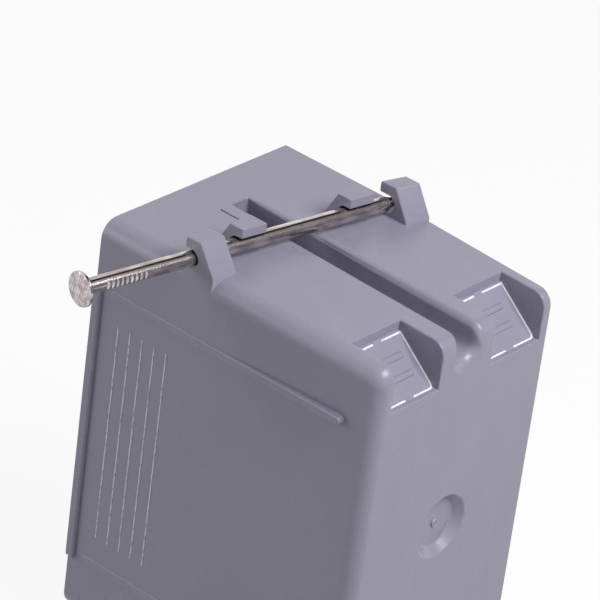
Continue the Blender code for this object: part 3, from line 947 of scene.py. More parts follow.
@dataclass
class Knockouts:
    """Breakout cable entries across the edge between an end wall and the back."""

    spans: tuple[Pair, ...] = ((35.3 * MM, 50.0 * MM), (3.2 * MM, 18.9 * MM))
    front: float = 62.6 * MM
    sill: float = 35.85 * MM
    sill_wall: float = 1.15 * MM
    plate: float = 1.3 * MM
    slit: float = 0.5 * MM
    corner: float = 1.0 * MM
    web: float = 2.4 * MM
    bar_length: float = 8.6 * MM
    bar_width: float = 1.4 * MM
    bar_height: float = 0.6 * MM
    bar_pitch: float = 4.1 * MM
    bar_rise: float = 0.15 * MM
    bar_rounding: float = 0.4 * MM
    plate_rounding: float = 0.12 * MM
    cheek: float = 1.5 * MM
    film_thickness: float = 0.2 * MM
    film_drop: float = 0.16 * MM
    rim: float = 0.1 * MM

    def line(self) -> tuple[Vector, Vector]:
        """Ends of the plate's outer line, as (depth, height)."""
        high = Vector((self.front + self.slit, BOX.end_height(self.front) - BOX.wall))
        return high, Vector((BOX.depth - self.sill_wall, self.sill))

    def place(self, span: Pair) -> tuple[Matrix, float]:
        """Frame of a plate: X across, Y down its slope, Z out of the box.

        Args:
            span: Where the entry begins and ends across the box.

        Returns:
            The matrix and the length of the plate's opening.
        """
        high, low = self.line()
        slope = (low - high).normalized()
        turn = Matrix(((1, 0, 0), (0, slope.x, slope.y), (0, -slope.y, slope.x)))
        middle = (high + low) / 2
        centre = Vector((sum(span) / 2, middle.x, middle.y))
        return Matrix.Translation(centre) @ turn.transposed().to_4x4(), (low - high).length

    def notch(self, span: Pair) -> BMesh:
        """Cutter of one notch.

        Args:
            span: Where the entry begins and ends across the box.

        Returns:
            The solid.
        """
        high, low = self.line()
        far_y, far_z = BOX.depth + PAST_FACES, BOX.half_height + PAST_FACES
        mesh = polygon([(self.front, far_z), (self.front, high.y), (high.x, high.y),
                        (low.x, low.y), (far_y, low.y), (far_y, far_z)], span[0])
        return thicken(mesh, Vector((span[1] - span[0], 0, 0)))

    def beside(self, place: Vector) -> bool:
        """Whether a place lies on a notch or its rim."""
        rim = self.rim
        return (place.y > self.front - rim and abs(place.z) > self.sill - rim
                and any(low - rim < place.x < high + rim for low, high in self.spans))

    def relief(self, span: Pair) -> BMesh:
        """Part of the core that stays solid behind a notch.

        Args:
            span: Where the entry begins and ends across the box.

        Returns:
            The solid.
        """
        high, low = self.line()
        slope = (low - high).normalized()
        shift = Vector((slope.y, -slope.x)) * self.plate
        reach = slope * (3 * BOX.wall)
        far_y, far_z = BOX.depth + PAST_FACES, BOX.half_height + PAST_FACES
        top, foot = high + shift - reach, low + shift + reach
        mesh = polygon([tuple(top), tuple(foot), (far_y, foot.y), (far_y, far_z),
                        (top.x, far_z)], span[0] - self.cheek)
        return thicken(mesh, Vector((span[1] - span[0] + 2 * self.cheek, 0, 0)))

    def slab(self, width: float, length: float, radius: float, thickness: float) -> BMesh:
        """Plate in its own frame, its two lower corners rounded.

        Args:
            width: Across.
            length: Down the slope.
            radius: Radius of the lower corners.
            thickness: Thickness, centred on Z = 0.

        Returns:
            The solid.
        """
        half = Vector((width, length, thickness)) / 2
        mesh = block(-half, half)
        corners = [e for e in mesh.edges if all(v.co.y > 0 for v in e.verts)
                   and e.verts[0].co.x == e.verts[1].co.x]
        round_edges(mesh, corners, radius, 5)
        return mesh

    def window(self, span: Pair) -> BMesh:
        """Cutter of the opening that the plate closes."""
        place, length = self.place(span)
        return laid(self.slab(span[1] - span[0], length - 2 * self.rim, self.corner,
                              5 * self.plate), place)

    def bar(self, row: int) -> BMesh:
        """Grip bar with round ends, in the plate's frame.

        Args:
            row: Which bar, -1 for the upper and 1 for the lower.

        Returns:
            The solid.
        """
        reach = (self.bar_length - self.bar_width) / 2
        low = Vector((0, 0, -self.bar_height))
        mesh = slot_face(low + X_AXIS * reach, low - X_AXIS * reach, Z_AXIS,
                         self.bar_width / 2)
        thicken(mesh, low * -2)
        soften(mesh, self.bar_rounding, 4, 60)
        move(mesh, (0, row * self.bar_pitch / 2 - self.bar_rise, 0))
        return mesh

    def lid(self, span: Pair) -> BMesh:
        """Plate with its two grip bars and its two webs.

        Args:
            span: Where the entry begins and ends across the box.

        Returns:
            The solid.
        """
        place, length = self.place(span)
        width = span[1] - span[0]
        slab = self.slab(width - 2 * self.slit, length - 2 * self.slit,
                         self.corner - self.slit / 2, self.plate)
        soften(slab, self.plate_rounding, 2, 60)
        move(slab, (0, 0, -self.plate / 2))
        webs = []
        for row in (-1, 1):
            web = block((-self.web / 2, -1.4 * self.slit, -self.plate * 0.9),
                        (self.web / 2, 0.5 * self.slit, -self.film_drop / 4))
            bmesh.ops.scale(web, vec=(1, row, 1), verts=web.verts[:])
            bmesh.ops.recalc_face_normals(web, faces=web.faces[:])
            move(web, (0, row * length / 2, 0))
            webs.append(web)
        return laid(join(slab, self.bar(-1), self.bar(1), *webs), place)

    def slit_light_film(self, span: Pair) -> BMesh:
        """Thin pale film in the slits round a plate; its colour paints the light seen
        through the slits.

        Args:
            span: Where the entry begins and ends across the box.

        Returns:
            The solid.
        """
        place, length = self.place(span)
        mesh = self.slab(span[1] - span[0] + self.slit, length + self.slit / 2,
                         self.corner, self.film_thickness)
        move(mesh, (0, 0, -self.film_drop - self.film_thickness / 2))
        return laid(mesh, place)

    def build(self, bench: Bench) -> None:
        """Make the plates of both ends, with the pale film in their slits that paints the
        light seen through them.

        Args:
            bench: Where the solids become finished pieces.
        """
        for end in End:
            for side, span in zip(SIDES, self.spans):
                bench.finish(for_end(self.lid(span), end),
                             f"knockout_plate_{end.label}_{side}_side", "plastic")
                # The film's pale colour paints the light seen through the slits
                bench.finish(for_end(self.slit_light_film(span), end),
                             f"knockout_film_{end.label}_{side}_side", "slit_light_film")


@dataclass
class Groove:
    """Groove outside an end wall, for the end of the device screw."""

    half_width: float = 3.1 * MM
    start: float = 11.0 * MM
    room_draft: float = 0.35 * MM
    flare_front: float = 0.8 * MM
    flare_rear: float = 2.1 * MM
    lip_rise: float = 0.08
    mouth: float = 2.6 * MM
    mouth_drop: float = 2.0 * MM
    corner: float = 0.6 * MM
    start_flares: Pair = (0.3 * MM, 0.35 * MM)
    floor: float = 39.6 * MM
    ridge: float = 0.9

    def ring(self, mesh: BMesh, depth: float, grow: float = 0.0,
             flare: float = 0.05 * MM, drop: float = 0.0) -> list[BMEdge]:
        """Section of the groove, open above the end wall.

        Args:
            mesh: The bmesh that takes it.
            depth: Where it stands.
            grow: How much wider and deeper it is on every side.
            flare: Radius of the rounded lip at the stud side.
            drop: How much deeper its floor is besides.

        Returns:
            Its edges.
        """
        half = self.half_width + grow
        floor = self.floor - grow - drop
        top = BOX.brow_height(depth)
        far = top + PAST_FACES

        def at(u: float, z: float) -> Vector:
            """Point of the section, u from the device axis."""
            return Vector((BOX.axis_x + u, depth, z))

        lip = top + max(self.lip_rise * flare, MERGE)
        lean = self.room_draft / (top - floor - half)
        outline = Outline(mesh, at(-half - flare, far))
        outline.line(at(-half - flare, lip))
        outline.arc(at(-half - flare, lip - flare), Y_AXIS, QUARTER_TURN, 8)
        outline.line(at(-half, floor + half))
        outline.arc(at(0, floor + half), Y_AXIS, -math.pi, 14)
        outline.line(at(half + lean * (far - floor - half), far))
        return outline.edges()

    def cutter(self) -> BMesh:
        """The groove, with a soft start and a soft mouth through the back.

        Returns:
            The solid.
        """
        mesh = bmesh.new()
        soft = self.corner
        first, second = self.start_flares
        rings = [self.ring(mesh, self.start, -soft, first),
                 self.ring(mesh, self.start + soft * 0.3, -soft * 0.3, second),
                 self.ring(mesh, self.start + soft, 0.0, self.flare_front / 2),
                 self.ring(mesh, self.start + 4 * soft, 0.0, self.flare_front),
                 self.ring(mesh, BOX.knee, 0.0, self.flare_rear),
                 self.ring(mesh, BOX.depth - BOX.back_radius, 0.0, self.flare_rear)]
        for i in range(11):
            turn = i / 10 * QUARTER_TURN
            opening = 1 - math.cos(turn)
            rings.append(self.ring(
                mesh, BOX.depth - self.mouth + self.mouth * math.sin(turn),
                opening * self.mouth / 2, self.flare_rear, opening * self.mouth_drop))
        rings.append(self.ring(mesh, BOX.depth + PAST_ENDS, self.mouth / 2,
                               self.flare_rear, self.mouth_drop))
        return skinned(mesh, rings)

    def relief(self, start: float) -> BMesh:
        """Part of the core that stays solid round the groove.

        Args:
            start: Depth where the ridge inside the box begins.

        Returns:
            The solid.
        """
        mesh = bmesh.new()
        return skinned(mesh, [self.ring(mesh, y, BOX.wall * self.ridge)
                              for y in (start, BOX.knee, BOX.depth + PAST_ENDS)])


@dataclass
class Tongue:
    """Springy tongue beside the front end of the groove."""

    offset: float = 2.05 * MM
    width: float = 3.25 * MM
    length: float = 8.6 * MM
    thickness: float = 1.8 * MM
    slit: float = 0.5 * MM
    pocket: float = 5.6 * MM
    start: float = 11.0 * MM
    root: float = 0.4 * MM
    rounding: float = 0.2 * MM

    @property
    def slit_x(self) -> float:
        """Where the slit begins, across the box."""
        return BOX.axis_x + self.offset + self.width

    def cutter(self) -> BMesh:
        """Pocket under the tongue."""
        return block((BOX.axis_x, self.start, BOX.half_height - self.pocket),
                     (self.slit_x + self.slit, self.start + self.length + 2 * self.slit,
                      BOX.half_height + PAST_ENDS))

    def build(self, bench: Bench) -> None:
        """Make the tongues of both ends.

        Args:
            bench: Where the solids become finished pieces.
        """
        for end in End:
            mesh = block((self.slit_x - self.width, self.start - self.root,
                          BOX.half_height - self.thickness),
                         (self.slit_x, self.start + self.length, BOX.half_height))
            soften(mesh, self.rounding)
            bench.finish(for_end(mesh, end), f"screw_tongue_{end.label}", "plastic")


@dataclass
class ScrewBoss:
    """Boss inside the rim that takes a device screw."""

    width: float = 13.6 * MM
    recess: float = 0.5 * MM
    length: float = 21.0 * MM
    bore: float = 1.45 * MM
    lead_in: float = 0.6 * MM
    before: float = 0.3 * MM
    floor: float = 37.4 * MM

    def relief(self) -> BMesh:
        """Part of the core that stays solid as the boss."""
        return block((BOX.axis_x - self.width / 2, self.recess, self.floor),
                     (BOX.axis_x + self.width / 2, self.length,
                      BOX.half_height + PAST_ENDS))

    def bore_cutter(self, until: float) -> BMesh:
        """Screw hole with its lead-in.

        Args:
            until: Depth that the hole runs to.

        Returns:
            The solid.
        """
        wide = self.bore + self.lead_in + self.before
        lay = Matrix.Translation((BOX.axis_x, 0, BOX.screw_height))
        return laid(lathe([(0, -PAST_ENDS), (wide, -PAST_ENDS),
                           (wide, self.recess - self.before),
                           (self.bore, self.recess + self.lead_in),
                           (self.bore, until), (0, until)], 32), lay @ BACKWARD)


@dataclass
class Dimple:
    """Round dimple in the middle of the back, with the gate mark on its floor."""

    radius: float = 7.3 * MM
    floor_radius: float = 5.4 * MM
    depth: float = 2.0 * MM
    foot_radius: float = 0.7 * MM
    lip: tuple[Pair, ...] = (
        (-0.3 * MM, -0.3 * MM), (0.1 * MM, 0.02 * MM), (0.4 * MM, 2 * MM))
    gate_radius: float = 1.0 * MM
    gate_height: float = 0.35 * MM
    gate_root: float = 0.3 * MM
    gate_crest: tuple[Pair, ...] = (
        (1.0, 0.12 * MM), (0.88, 0.0), (0.6, 0.0), (0.45, 0.16 * MM), (0.2, 0.1 * MM),
        (0.0, 0.05 * MM))
    gate_jag: float = 0.09 * MM
    gate_sway: float = 0.05 * MM

    def lay(self) -> Matrix:
        """Frame of the dimple: Z out of the back."""
        return Matrix.Translation((BOX.axis_x, BOX.depth, 0)) @ BACKWARD

    def cutter(self) -> BMesh:
        """The hollow, with a soft foot and a soft lip.

        Returns:
            The solid.
        """
        slope = math.atan2(self.depth, self.radius - self.floor_radius)
        centre = self.floor_radius - self.foot_radius * math.tan(slope / 2)
        outline = Outline(bmesh.new(), Vector((0, 0, -self.depth)))
        outline.line(Vector((centre, 0, -self.depth)))
        outline.arc(Vector((centre, 0, -self.depth + self.foot_radius)), Y_AXIS, -slope, 5)
        for out, rise in self.lip:
            outline.line(Vector((self.radius + out, 0, rise)))
        outline.line(Vector((0, 0, self.lip[-1][1])))
        return laid(turned(outline, 72), self.lay())

    def relief(self) -> BMesh:
        """Part of the core that stays solid under the dimple.

        Returns:
            The solid.
        """
        mesh = bmesh.new()
        thickness = self.depth + BOX.wall
        bmesh.ops.create_cone(mesh, cap_ends=True, segments=48, depth=thickness,
                              radius1=self.radius - BOX.wall / 2, radius2=self.radius)
        move(mesh, (0, 0, -thickness / 2))
        return laid(mesh, self.lay())

    def build(self, bench: Bench) -> None:
        """Make the gate mark, a low ring where the runner broke away.

        Args:
            bench: Where the solids become finished pieces.
        """
        low, top = -self.depth - self.gate_root, -self.depth + self.gate_height
        crest = [(self.gate_radius * share, top - drop) for share, drop in self.gate_crest]
        mesh = lathe([(0, low), (self.gate_radius, low), *crest], 28)
        for vert in mesh.verts:
            if vert.co.z > low + 0.1 * MM:
                jag = noise.noise(vert.co * 900 + X_AXIS * 4.1)
                vert.co.z += self.gate_jag * jag
                vert.co.x += self.gate_sway * jag
        bench.finish(laid(mesh, self.lay()), "gate_mark", "plastic")


@dataclass
class Shell:
    """The walls of the moulding, cut by everything that opens them."""

    knockouts: Knockouts
    groove: Groove
    tongue: Tongue
    boss: ScrewBoss
    dimple: Dimple
    side_radius: float = 4.0 * MM
    inner_radius: float = 1.2 * MM
    notch_rounding: float = 0.42 * MM
    edge_rounding: float = 0.22 * MM
    sharp: float = 32.0

    def drafted(self, inset: float, front: float, side_radius: float,
                back_radius: float, steps: int) -> BMesh:
        """Block that is straight from the rim to the knee and drafted behind it.

        Args:
            inset: How far it lies inside the box's outer faces.
            front: Depth where it begins.
            side_radius: Radius of the edges along the room side.
            back_radius: Radius of the edges round the back.
            steps: Steps across each rounding.

        Returns:
            The solid.
        """
        mesh = block((inset, front, -BOX.half_height + inset),
                     (BOX.width - inset, BOX.depth - inset, BOX.half_height - inset))
        bmesh.ops.bisect_plane(mesh, geom=mesh.verts[:] + mesh.edges[:] + mesh.faces[:],
                               plane_co=(0, BOX.knee, 0), plane_no=(0, 1, 0))
        rear = [v for v in mesh.verts if v.co.y > BOX.knee + 1 * MM]
        middle = BOX.width / 2
        for verts, step in (
                ([v for v in rear if v.co.x < middle], (BOX.stud_draft, 0, 0)),
                ([v for v in rear if v.co.x > middle], (-BOX.room_draft, 0, 0)),
                ([v for v in rear if v.co.z > 0], (0, 0, -BOX.end_draft)),
                ([v for v in rear if v.co.z < 0], (0, 0, BOX.end_draft))):
            bmesh.ops.translate(mesh, vec=step, verts=verts)
        room = [e for e in mesh.edges if all(v.co.x > middle for v in e.verts)
                and abs(e.verts[0].co.y - e.verts[1].co.y) > MM]
        round_edges(mesh, room, side_radius, steps)
        back = BOX.depth - inset
        rear_edges = [e for e in mesh.edges
                      if all(abs(v.co.y - back) < MERGE for v in e.verts)
                      and any(v.co.x > middle for v in e.verts)]
        round_edges(mesh, rear_edges, back_radius, steps)
        return mesh

    def round_off(self, body: BMesh, width: float,
                  chosen: Callable[[Vector], bool]) -> None:
        """Round sharp outer edges.

        Args:
            body: The shell.
            width: Width of the rounding.
            chosen: Says from an edge's middle whether the edge is rounded.
        """
        edges = [e for e in body.edges if e.is_manifold and e.is_convex
                 and e.calc_face_angle(0.0) > math.radians(self.sharp)
                 and chosen((e.verts[0].co + e.verts[1].co) / 2)]
        round_edges(body, edges, width, 3)

    def build(self, bench: Bench) -> None:
        """Make the shell.

        Args:
            bench: Where the solids become finished pieces.
        """
        core = self.drafted(BOX.wall, -PAST_ENDS, self.side_radius - BOX.wall,
                            self.inner_radius, 5)
        entries, spans = self.knockouts, self.knockouts.spans
        reliefs, outer, inner = [self.dimple.relief()], [self.dimple.cutter()], []
        for end in End:
            for tools, own in (
                    (reliefs, [self.boss.relief(),
                               self.groove.relief(self.boss.recess + 1 * MM),
                               *map(entries.relief, spans)]),
                    (outer, [self.groove.cutter(), *map(entries.notch, spans)]),
                    (inner, [*map(entries.window, spans), self.tongue.cutter(),
                             self.boss.bore_cutter(self.groove.start + 1 * MM)])):
                tools += [for_end(tool, end) for tool in own]
        core = carved(core, Cut.REMOVE, reliefs)
        body = self.drafted(0.0, 0.0, self.side_radius, BOX.back_radius, 10)
        body = carved(body, Cut.REMOVE, outer)
        self.round_off(body, self.notch_rounding, entries.beside)
        self.round_off(body, self.edge_rounding, lambda middle: not entries.beside(middle))
        body = carved(body, Cut.REMOVE, [core, *inner])
        self.round_off(body, self.edge_rounding, lambda middle: middle.y < MERGE)
        bench.finish(body, "box_shell", "plastic", replaces="box_body")


@dataclass(frozen=True)
class Bracket:
    """Sizes of one bracket.

    Front, crest and foot are measured along the depth from the nail's axis, and the root
    below the end wall's face.
    """

    side: str
    x_high: float
    width: float
    front: float
    crest: float
    foot: float
    lean: float
    root: float


@dataclass
class NailGuides:
    """Brackets at both sides and hooks between them, which hold a nail."""

    brackets: tuple[Bracket, ...] = (
        Bracket("room", BOX.width - 0.05 * MM, 6.25 * MM, 1.6 * MM, 2.4 * MM, 6.6 * MM,
                0.12, 3.9 * MM),
        Bracket("stud", 5.9 * MM, 5.85 * MM, 2.3 * MM, 1.85 * MM, 5.7 * MM, 0.28,
                1.3 * MM))
    top: float = 54.45 * MM
    step: float = 0.5 * MM
    chamfer: float = 0.4 * MM
    rounding: float = 0.28 * MM
    sunk: float = 0.4 * MM
    cavity_radius: float = 2.2 * MM
    hook_top: float = 54.05 * MM
    hook_root: float = 1.3 * MM
    hook_rounding: float = 0.24 * MM
    hook_seat_drop: float = 1.5 * MM
    hook_width: float = 6.2 * MM
    hook_sides: Pair = (44.7 * MM, 17.0 * MM)
    hook_crest: float = 3.5 * MM
    hook_reach: float = 1.25 * MM
    hook_ramp: float = 3.7 * MM

    def seat(self, x_high: float, width: float, facing: Facing, drop: float = 0.0) -> BMesh:
        """Cutter of the round seat for the nail, open to one side.

        Args:
            x_high: Where the guide begins, at the head's side.
            width: Width of the guide.
            facing: The side that the seat opens to.
            drop: How far the open side reaches below the seat.

        Returns:
            The solid.
        """
        over = 1 * MM
        x = x_high + over
        axis = Vector((x, NAIL.depth_at(x), NAIL.height))
        radius = NAIL.shank + NAIL.clearance
        out = Y_AXIS * facing.value * 10 * MM
        up = Z_AXIS * radius
        low = Z_AXIS * (radius + drop)
        mesh = bmesh.new()
        outline = Outline(mesh, axis + out - low)
        outline.line(axis - low)
        if drop:
            outline.line(axis - up)
        outline.arc(axis, X_AXIS, -facing.value * math.pi, 18)
        outline.line(axis + out + up)
        fill(mesh, outline.edges())
        return thicken(mesh, NAIL.run(width + 2 * over))

    def bracket(self, sizes: Bracket) -> BMesh:
        """Bracket with a long slope behind it.

        Args:
            sizes: Sizes of the bracket.

        Returns:
            The solid.
        """
        axis = NAIL.depth_at(sizes.x_high)
        root = BOX.half_height - sizes.root
        front, foot = axis - sizes.front, axis + sizes.foot
        mesh = polygon([(front, root), (foot, root), (foot, BOX.half_height + self.step),
                        (axis + sizes.crest, self.top),
                        (front + self.chamfer, self.top),
                        (front, self.top - self.chamfer)], sizes.x_high)
        thicken(mesh, Vector((-sizes.width, sizes.lean * sizes.width, 0)))
        seat = self.seat(sizes.x_high, sizes.width, Facing.FRONT)
        skin = BOX.wall - self.sunk
        cavity = block((-BOX.width, -BOX.depth, -BOX.half_height),
                       (BOX.width - skin, 2 * BOX.depth, BOX.half_height - skin))
        soften(cavity, self.cavity_radius, 6)
        return soften(carved(mesh, Cut.REMOVE, [seat, cavity]), self.rounding, 3, 40)

    def hook(self, x_high: float) -> BMesh:
        """Hook with a ramp before it, which reaches over the nail from the front.

        Args:
            x_high: Where the hook begins, at the head's side.

        Returns:
            The solid.
        """
        axis = NAIL.depth_at(x_high)
        lip = axis + self.hook_reach
        front = lip - self.hook_crest
        root = BOX.half_height - self.hook_root
        rise = self.hook_top - BOX.half_height
        ramp = self.hook_ramp * (self.hook_top - root) / rise
        mesh = polygon([(front - ramp, root), (lip, root), (lip, self.hook_top),
                        (front, self.hook_top)], x_high)
        thicken(mesh, Vector((-self.hook_width, 0, 0)))
        rear = [v for v in mesh.verts
                if v.co.y > lip - 0.1 * MM and v.co.x < x_high - 1 * MM]
        bmesh.ops.translate(mesh, vec=(0, NAIL.skew * self.hook_width, 0), verts=rear)
        seat = self.seat(x_high, self.hook_width, Facing.BACK, self.hook_seat_drop)
        return soften(carved(mesh, Cut.REMOVE, [seat]), self.hook_rounding, 3, 40)

    def build(self, bench: Bench) -> None:
        """Make the guides of both ends.

        Args:
            bench: Where the solids become finished pieces.
        """
        for end in End:
            for sizes in self.brackets:
                bench.finish(for_end(self.bracket(sizes), end),
                             f"bracket_{end.label}_{sizes.side}_side", "plastic")
            for side, x_high in zip(SIDES, self.hook_sides):
                bench.finish(for_end(self.hook(x_high), end),
                             f"hook_{end.label}_{side}_side", "plastic")


@dataclass
class SideDetails:
    """Ribs of both sides, and the rim strip and gauge lines of the room side."""

    rib_height: float = 32.5 * MM
    rib_width: float = 1.8 * MM
    rib_start: float = 4.5 * MM
    rib_end: float = 67.0 * MM
    rib_proud: float = 0.25 * MM
    rib_root: float = 1.7 * MM
    rib_back: float = 0.05 * MM
    rib_rounding: float = 0.36 * MM
    strip_width: float = 1.85 * MM
    strip_proud: float = 0.9 * MM
    strip_half: float = 34.3 * MM
    strip_root: float = 1.1 * MM
    strip_rounding: float = 0.22 * MM
    strip_back: float = 0.03 * MM
    gauge_first: float = 7.35 * MM
    gauge_pitch: float = 3.38 * MM
    gauge_count: int = 5
    gauge_half: float = 26.0 * MM
    gauge_width: float = 0.26 * MM
    gauge_proud: float = 0.1 * MM
    gauge_root: float = 0.5 * MM
    bead_height: float = 0.06 * MM
    bead_sway: float = 0.05 * MM

    def rib(self, x_low: float, x_high: float, height: float) -> BMesh:
        """Rib with round ends and a round crest.

        Args:
            x_low: Its root or crest nearest the stud.
            x_high: Its root or crest nearest the nail heads.
            height: Its height on the box.

        Returns:
            The solid.
        """
        radius = self.rib_width / 2
        mesh = slot_face(Vector((x_low, self.rib_start + radius, height)),
                         Vector((x_low, self.rib_end - radius, height)), X_AXIS, radius)
        thicken(mesh, X_AXIS * (x_high - x_low))
        return soften(mesh, self.rib_rounding, 4, 60)

    def strip(self) -> BMesh:
        """Strip along the rim of the room side, its ends cut on the slant.

        Returns:
            The solid.
        """
        low, high = BOX.width - self.strip_root, BOX.width + self.strip_proud
        half = self.strip_half
        mesh = bmesh.new()
        mesh.faces.new([mesh.verts.new((x, 0.0, z)) for x, z in (
            (low, -half), (BOX.width, -half), (high, -half + self.strip_proud),
            (high, half - self.strip_proud), (BOX.width, half), (low, half))])
        thicken(mesh, Y_AXIS * self.strip_width)
        soften(mesh, self.strip_rounding)
        move(mesh, Y_AXIS * self.strip_back)
        return mesh

    def gauge_line(self, depth: float) -> BMesh:
        """Fine raised line, slightly beaded and uneven along its length.

        Args:
            depth: Depth of the line behind the rim.

        Returns:
            The solid.
        """
        mesh = block((BOX.width - self.gauge_root, depth - self.gauge_width / 2,
                      -self.gauge_half),
                     (BOX.width + self.gauge_proud, depth + self.gauge_width / 2,
                      self.gauge_half))
        long_edges = [e for e in mesh.edges
                      if abs(e.verts[0].co.z - e.verts[1].co.z) > MM]
        bmesh.ops.subdivide_edges(mesh, edges=long_edges, cuts=150, use_grid_fill=True)
        for vert in mesh.verts:
            if vert.co.x > BOX.width:
                spot = Vector((depth * 400, 0, vert.co.z * 900))
                vert.co.x += self.bead_height * noise.noise(spot)
                vert.co.y += self.bead_sway * noise.noise(spot + Y_AXIS * 7.3)
        return mesh

    def build(self, bench: Bench) -> None:
        """Make all ribs, the strip and the lines.

        Args:
            bench: Where the solids become finished pieces.
        """
        for end in End:
            height = self.rib_height
            room = self.rib(BOX.width - self.rib_root, BOX.width + self.rib_proud, height)
            stud = self.rib(self.rib_back, self.rib_root, height)
            bench.finish(for_end(room, end), f"rib_{end.label}_room_side", "plastic")
            bench.finish(for_end(stud, end), f"rib_{end.label}_stud_side", "plastic")
        bench.finish(self.strip(), "rim_strip", "plastic")
        lines = [self.gauge_line(self.gauge_first + i * self.gauge_pitch)
                 for i in range(self.gauge_count)]
        bench.finish(join(*lines), "gauge_lines", "rubbed_plastic")


@dataclass
class BoxNail:
    """Plated nail with a chequered head, die marks and a cut point."""

    head_radius: float = 3.75 * MM
    rim: float = 0.95 * MM
    cone: float = 0.8 * MM
    length: float = 83.1 * MM
    point: float = 5.2 * MM
    head_reach: float = 26.9 * MM
    chequer: float = 0.68 * MM
    chequer_height: float = 0.1 * MM
    mark_count: int = 9
    mark_pitch: float = 1.15 * MM
    mark_start: float = 6.0 * MM
    mark_depth: float = 0.3 * MM
    head_drop: float = 0.12 * MM
    head_edge: tuple[Pair, ...] = (
        (-0.3 * MM, 0.12 * MM), (-0.1 * MM, 0.2 * MM), (0.0, 0.36 * MM))
    strike: float = 1.3
    chequer_gap: float = 0.12 * MM
    face_thickness: float = 0.5 * MM
    point_flat: float = 0.18

    def lay(self) -> Matrix:
        """Frame of the nail: Z out of the head's face, X level across the nail.

        Returns:
            The matrix.
        """
        head_x = BOX.width + self.head_reach
        out = -NAIL.run(1.0).normalized()
        side = Z_AXIS.cross(out).normalized()
        turn = Matrix((side, out.cross(side), out)).transposed().to_4x4()
        return Matrix.Translation((head_x, NAIL.depth_at(head_x), NAIL.height)) @ turn

    def shank(self) -> BMesh:
        """Turned body with the round of the head, in the nail's own frame.

        Returns:
            The solid.
        """
        radius, neck = NAIL.shank, self.rim + self.cone
        head, tip = self.head_radius, self.length
        edge = [(head + out, back) for out, back in self.head_edge]
        back_line = [(head, self.rim - 0.1 * MM), (head - 0.15 * MM, self.rim + 0.05 * MM),
                     (radius + 0.5 * MM, neck - 0.1 * MM),
                     (radius + 0.15 * MM, neck + 0.1 * MM), (radius, neck + 0.5 * MM)]
        point = [(radius, tip - self.point), (radius * 0.93, tip - self.point * 0.9),
                 (radius * 0.1, tip), (0, tip)]
        mesh = lathe([(out, -back) for out, back
                      in [(0, edge[0][1]), *edge, *back_line, *point]], 56)
        for vert in mesh.verts:
            if vert.co.z < -tip + self.point * 0.95:
                corner = abs(math.sin(2 * math.atan2(vert.co.y, vert.co.x)))
                flat = 1 - corner * self.point_flat
                vert.co.x *= flat
                vert.co.y *= flat
        return mesh

    def marks(self) -> list[BMesh]:
        """Cutters of the die marks, on both flanks of the shank.

        Returns:
            One solid for each mark.
        """
        cutters = []
        radius = self.mark_pitch * 0.42
        for side in (-1, 1):
            for i in range(self.mark_count):
                mesh = bmesh.new()
                bmesh.ops.create_cone(mesh, cap_ends=True, segments=16, radius1=radius,
                                      radius2=radius, depth=3 * NAIL.shank)
                centre = Vector((side * (NAIL.shank + radius - self.mark_depth), 0,
                                 -self.mark_start - i * self.mark_pitch))
                cutters.append(laid(mesh, Matrix.Translation(centre) @ FORWARD))
        return cutters

    def face(self) -> BMesh:
        """Chequered face of the head, struck slightly off centre.

        Returns:
            The solid.
        """
        mesh = bmesh.new()
        count = 2 * math.ceil(self.head_radius / self.chequer) + 2
        bmesh.ops.create_grid(mesh, x_segments=count, y_segments=count,
                              size=count * self.chequer / 2)
        thicken(mesh, Z_AXIS * -self.face_thickness)
        top = [f for f in mesh.faces if f.normal.z > 0.9
               and f.calc_center_median().z > -self.face_thickness / 2]
        bmesh.ops.inset_individual(mesh, faces=top, thickness=self.chequer_gap,
                                   depth=self.chequer_height)
        move(mesh, (0, 0, -self.chequer_height - MERGE))
        bmesh.ops.rotate(mesh, cent=(0, 0, 0), verts=mesh.verts[:],
                         matrix=Matrix.Rotation(self.strike, 3, "Z"))
        disc = bmesh.new()
        sunk = self.head_edge[-1][1]
        bmesh.ops.create_cone(disc, cap_ends=True, segments=56, depth=sunk,
                              radius1=self.head_radius - 0.1 * MM,
                              radius2=self.head_radius - 0.42 * MM)
        move(disc, (0, 0, -sunk / 2))
        return carved(mesh, Cut.KEEP, [disc])

    def build(self, bench: Bench) -> None:
        """Make the nails of both ends.

        Args:
            bench: Where the solids become finished pieces.
        """
        for end in End:
            mesh = join(carved(self.shank(), Cut.REMOVE, self.marks()), self.face())
            head = [v for v in mesh.verts if v.co.z > -self.rim - self.cone * 0.6]
            bmesh.ops.translate(mesh, vec=(0, -self.head_drop, 0), verts=head)
            bench.finish(for_end(laid(mesh, self.lay()), end), f"box_nail_{end.label}",
                         "steel", smooth_angle=28, replaces=f"nail_{end.label}")


@dataclass(frozen=True)
class SoftLight:
    """A square lamp: the way towards it, and its distance, side and watts."""

    name: str
    towards: Triple
    distance: float
    size: float
    power: float


@dataclass(frozen=True)
class Card:
    """A card in the reflections: its angle round the nails, distance and size."""

    name: str
    degrees: float
    distance: float
    size: Pair


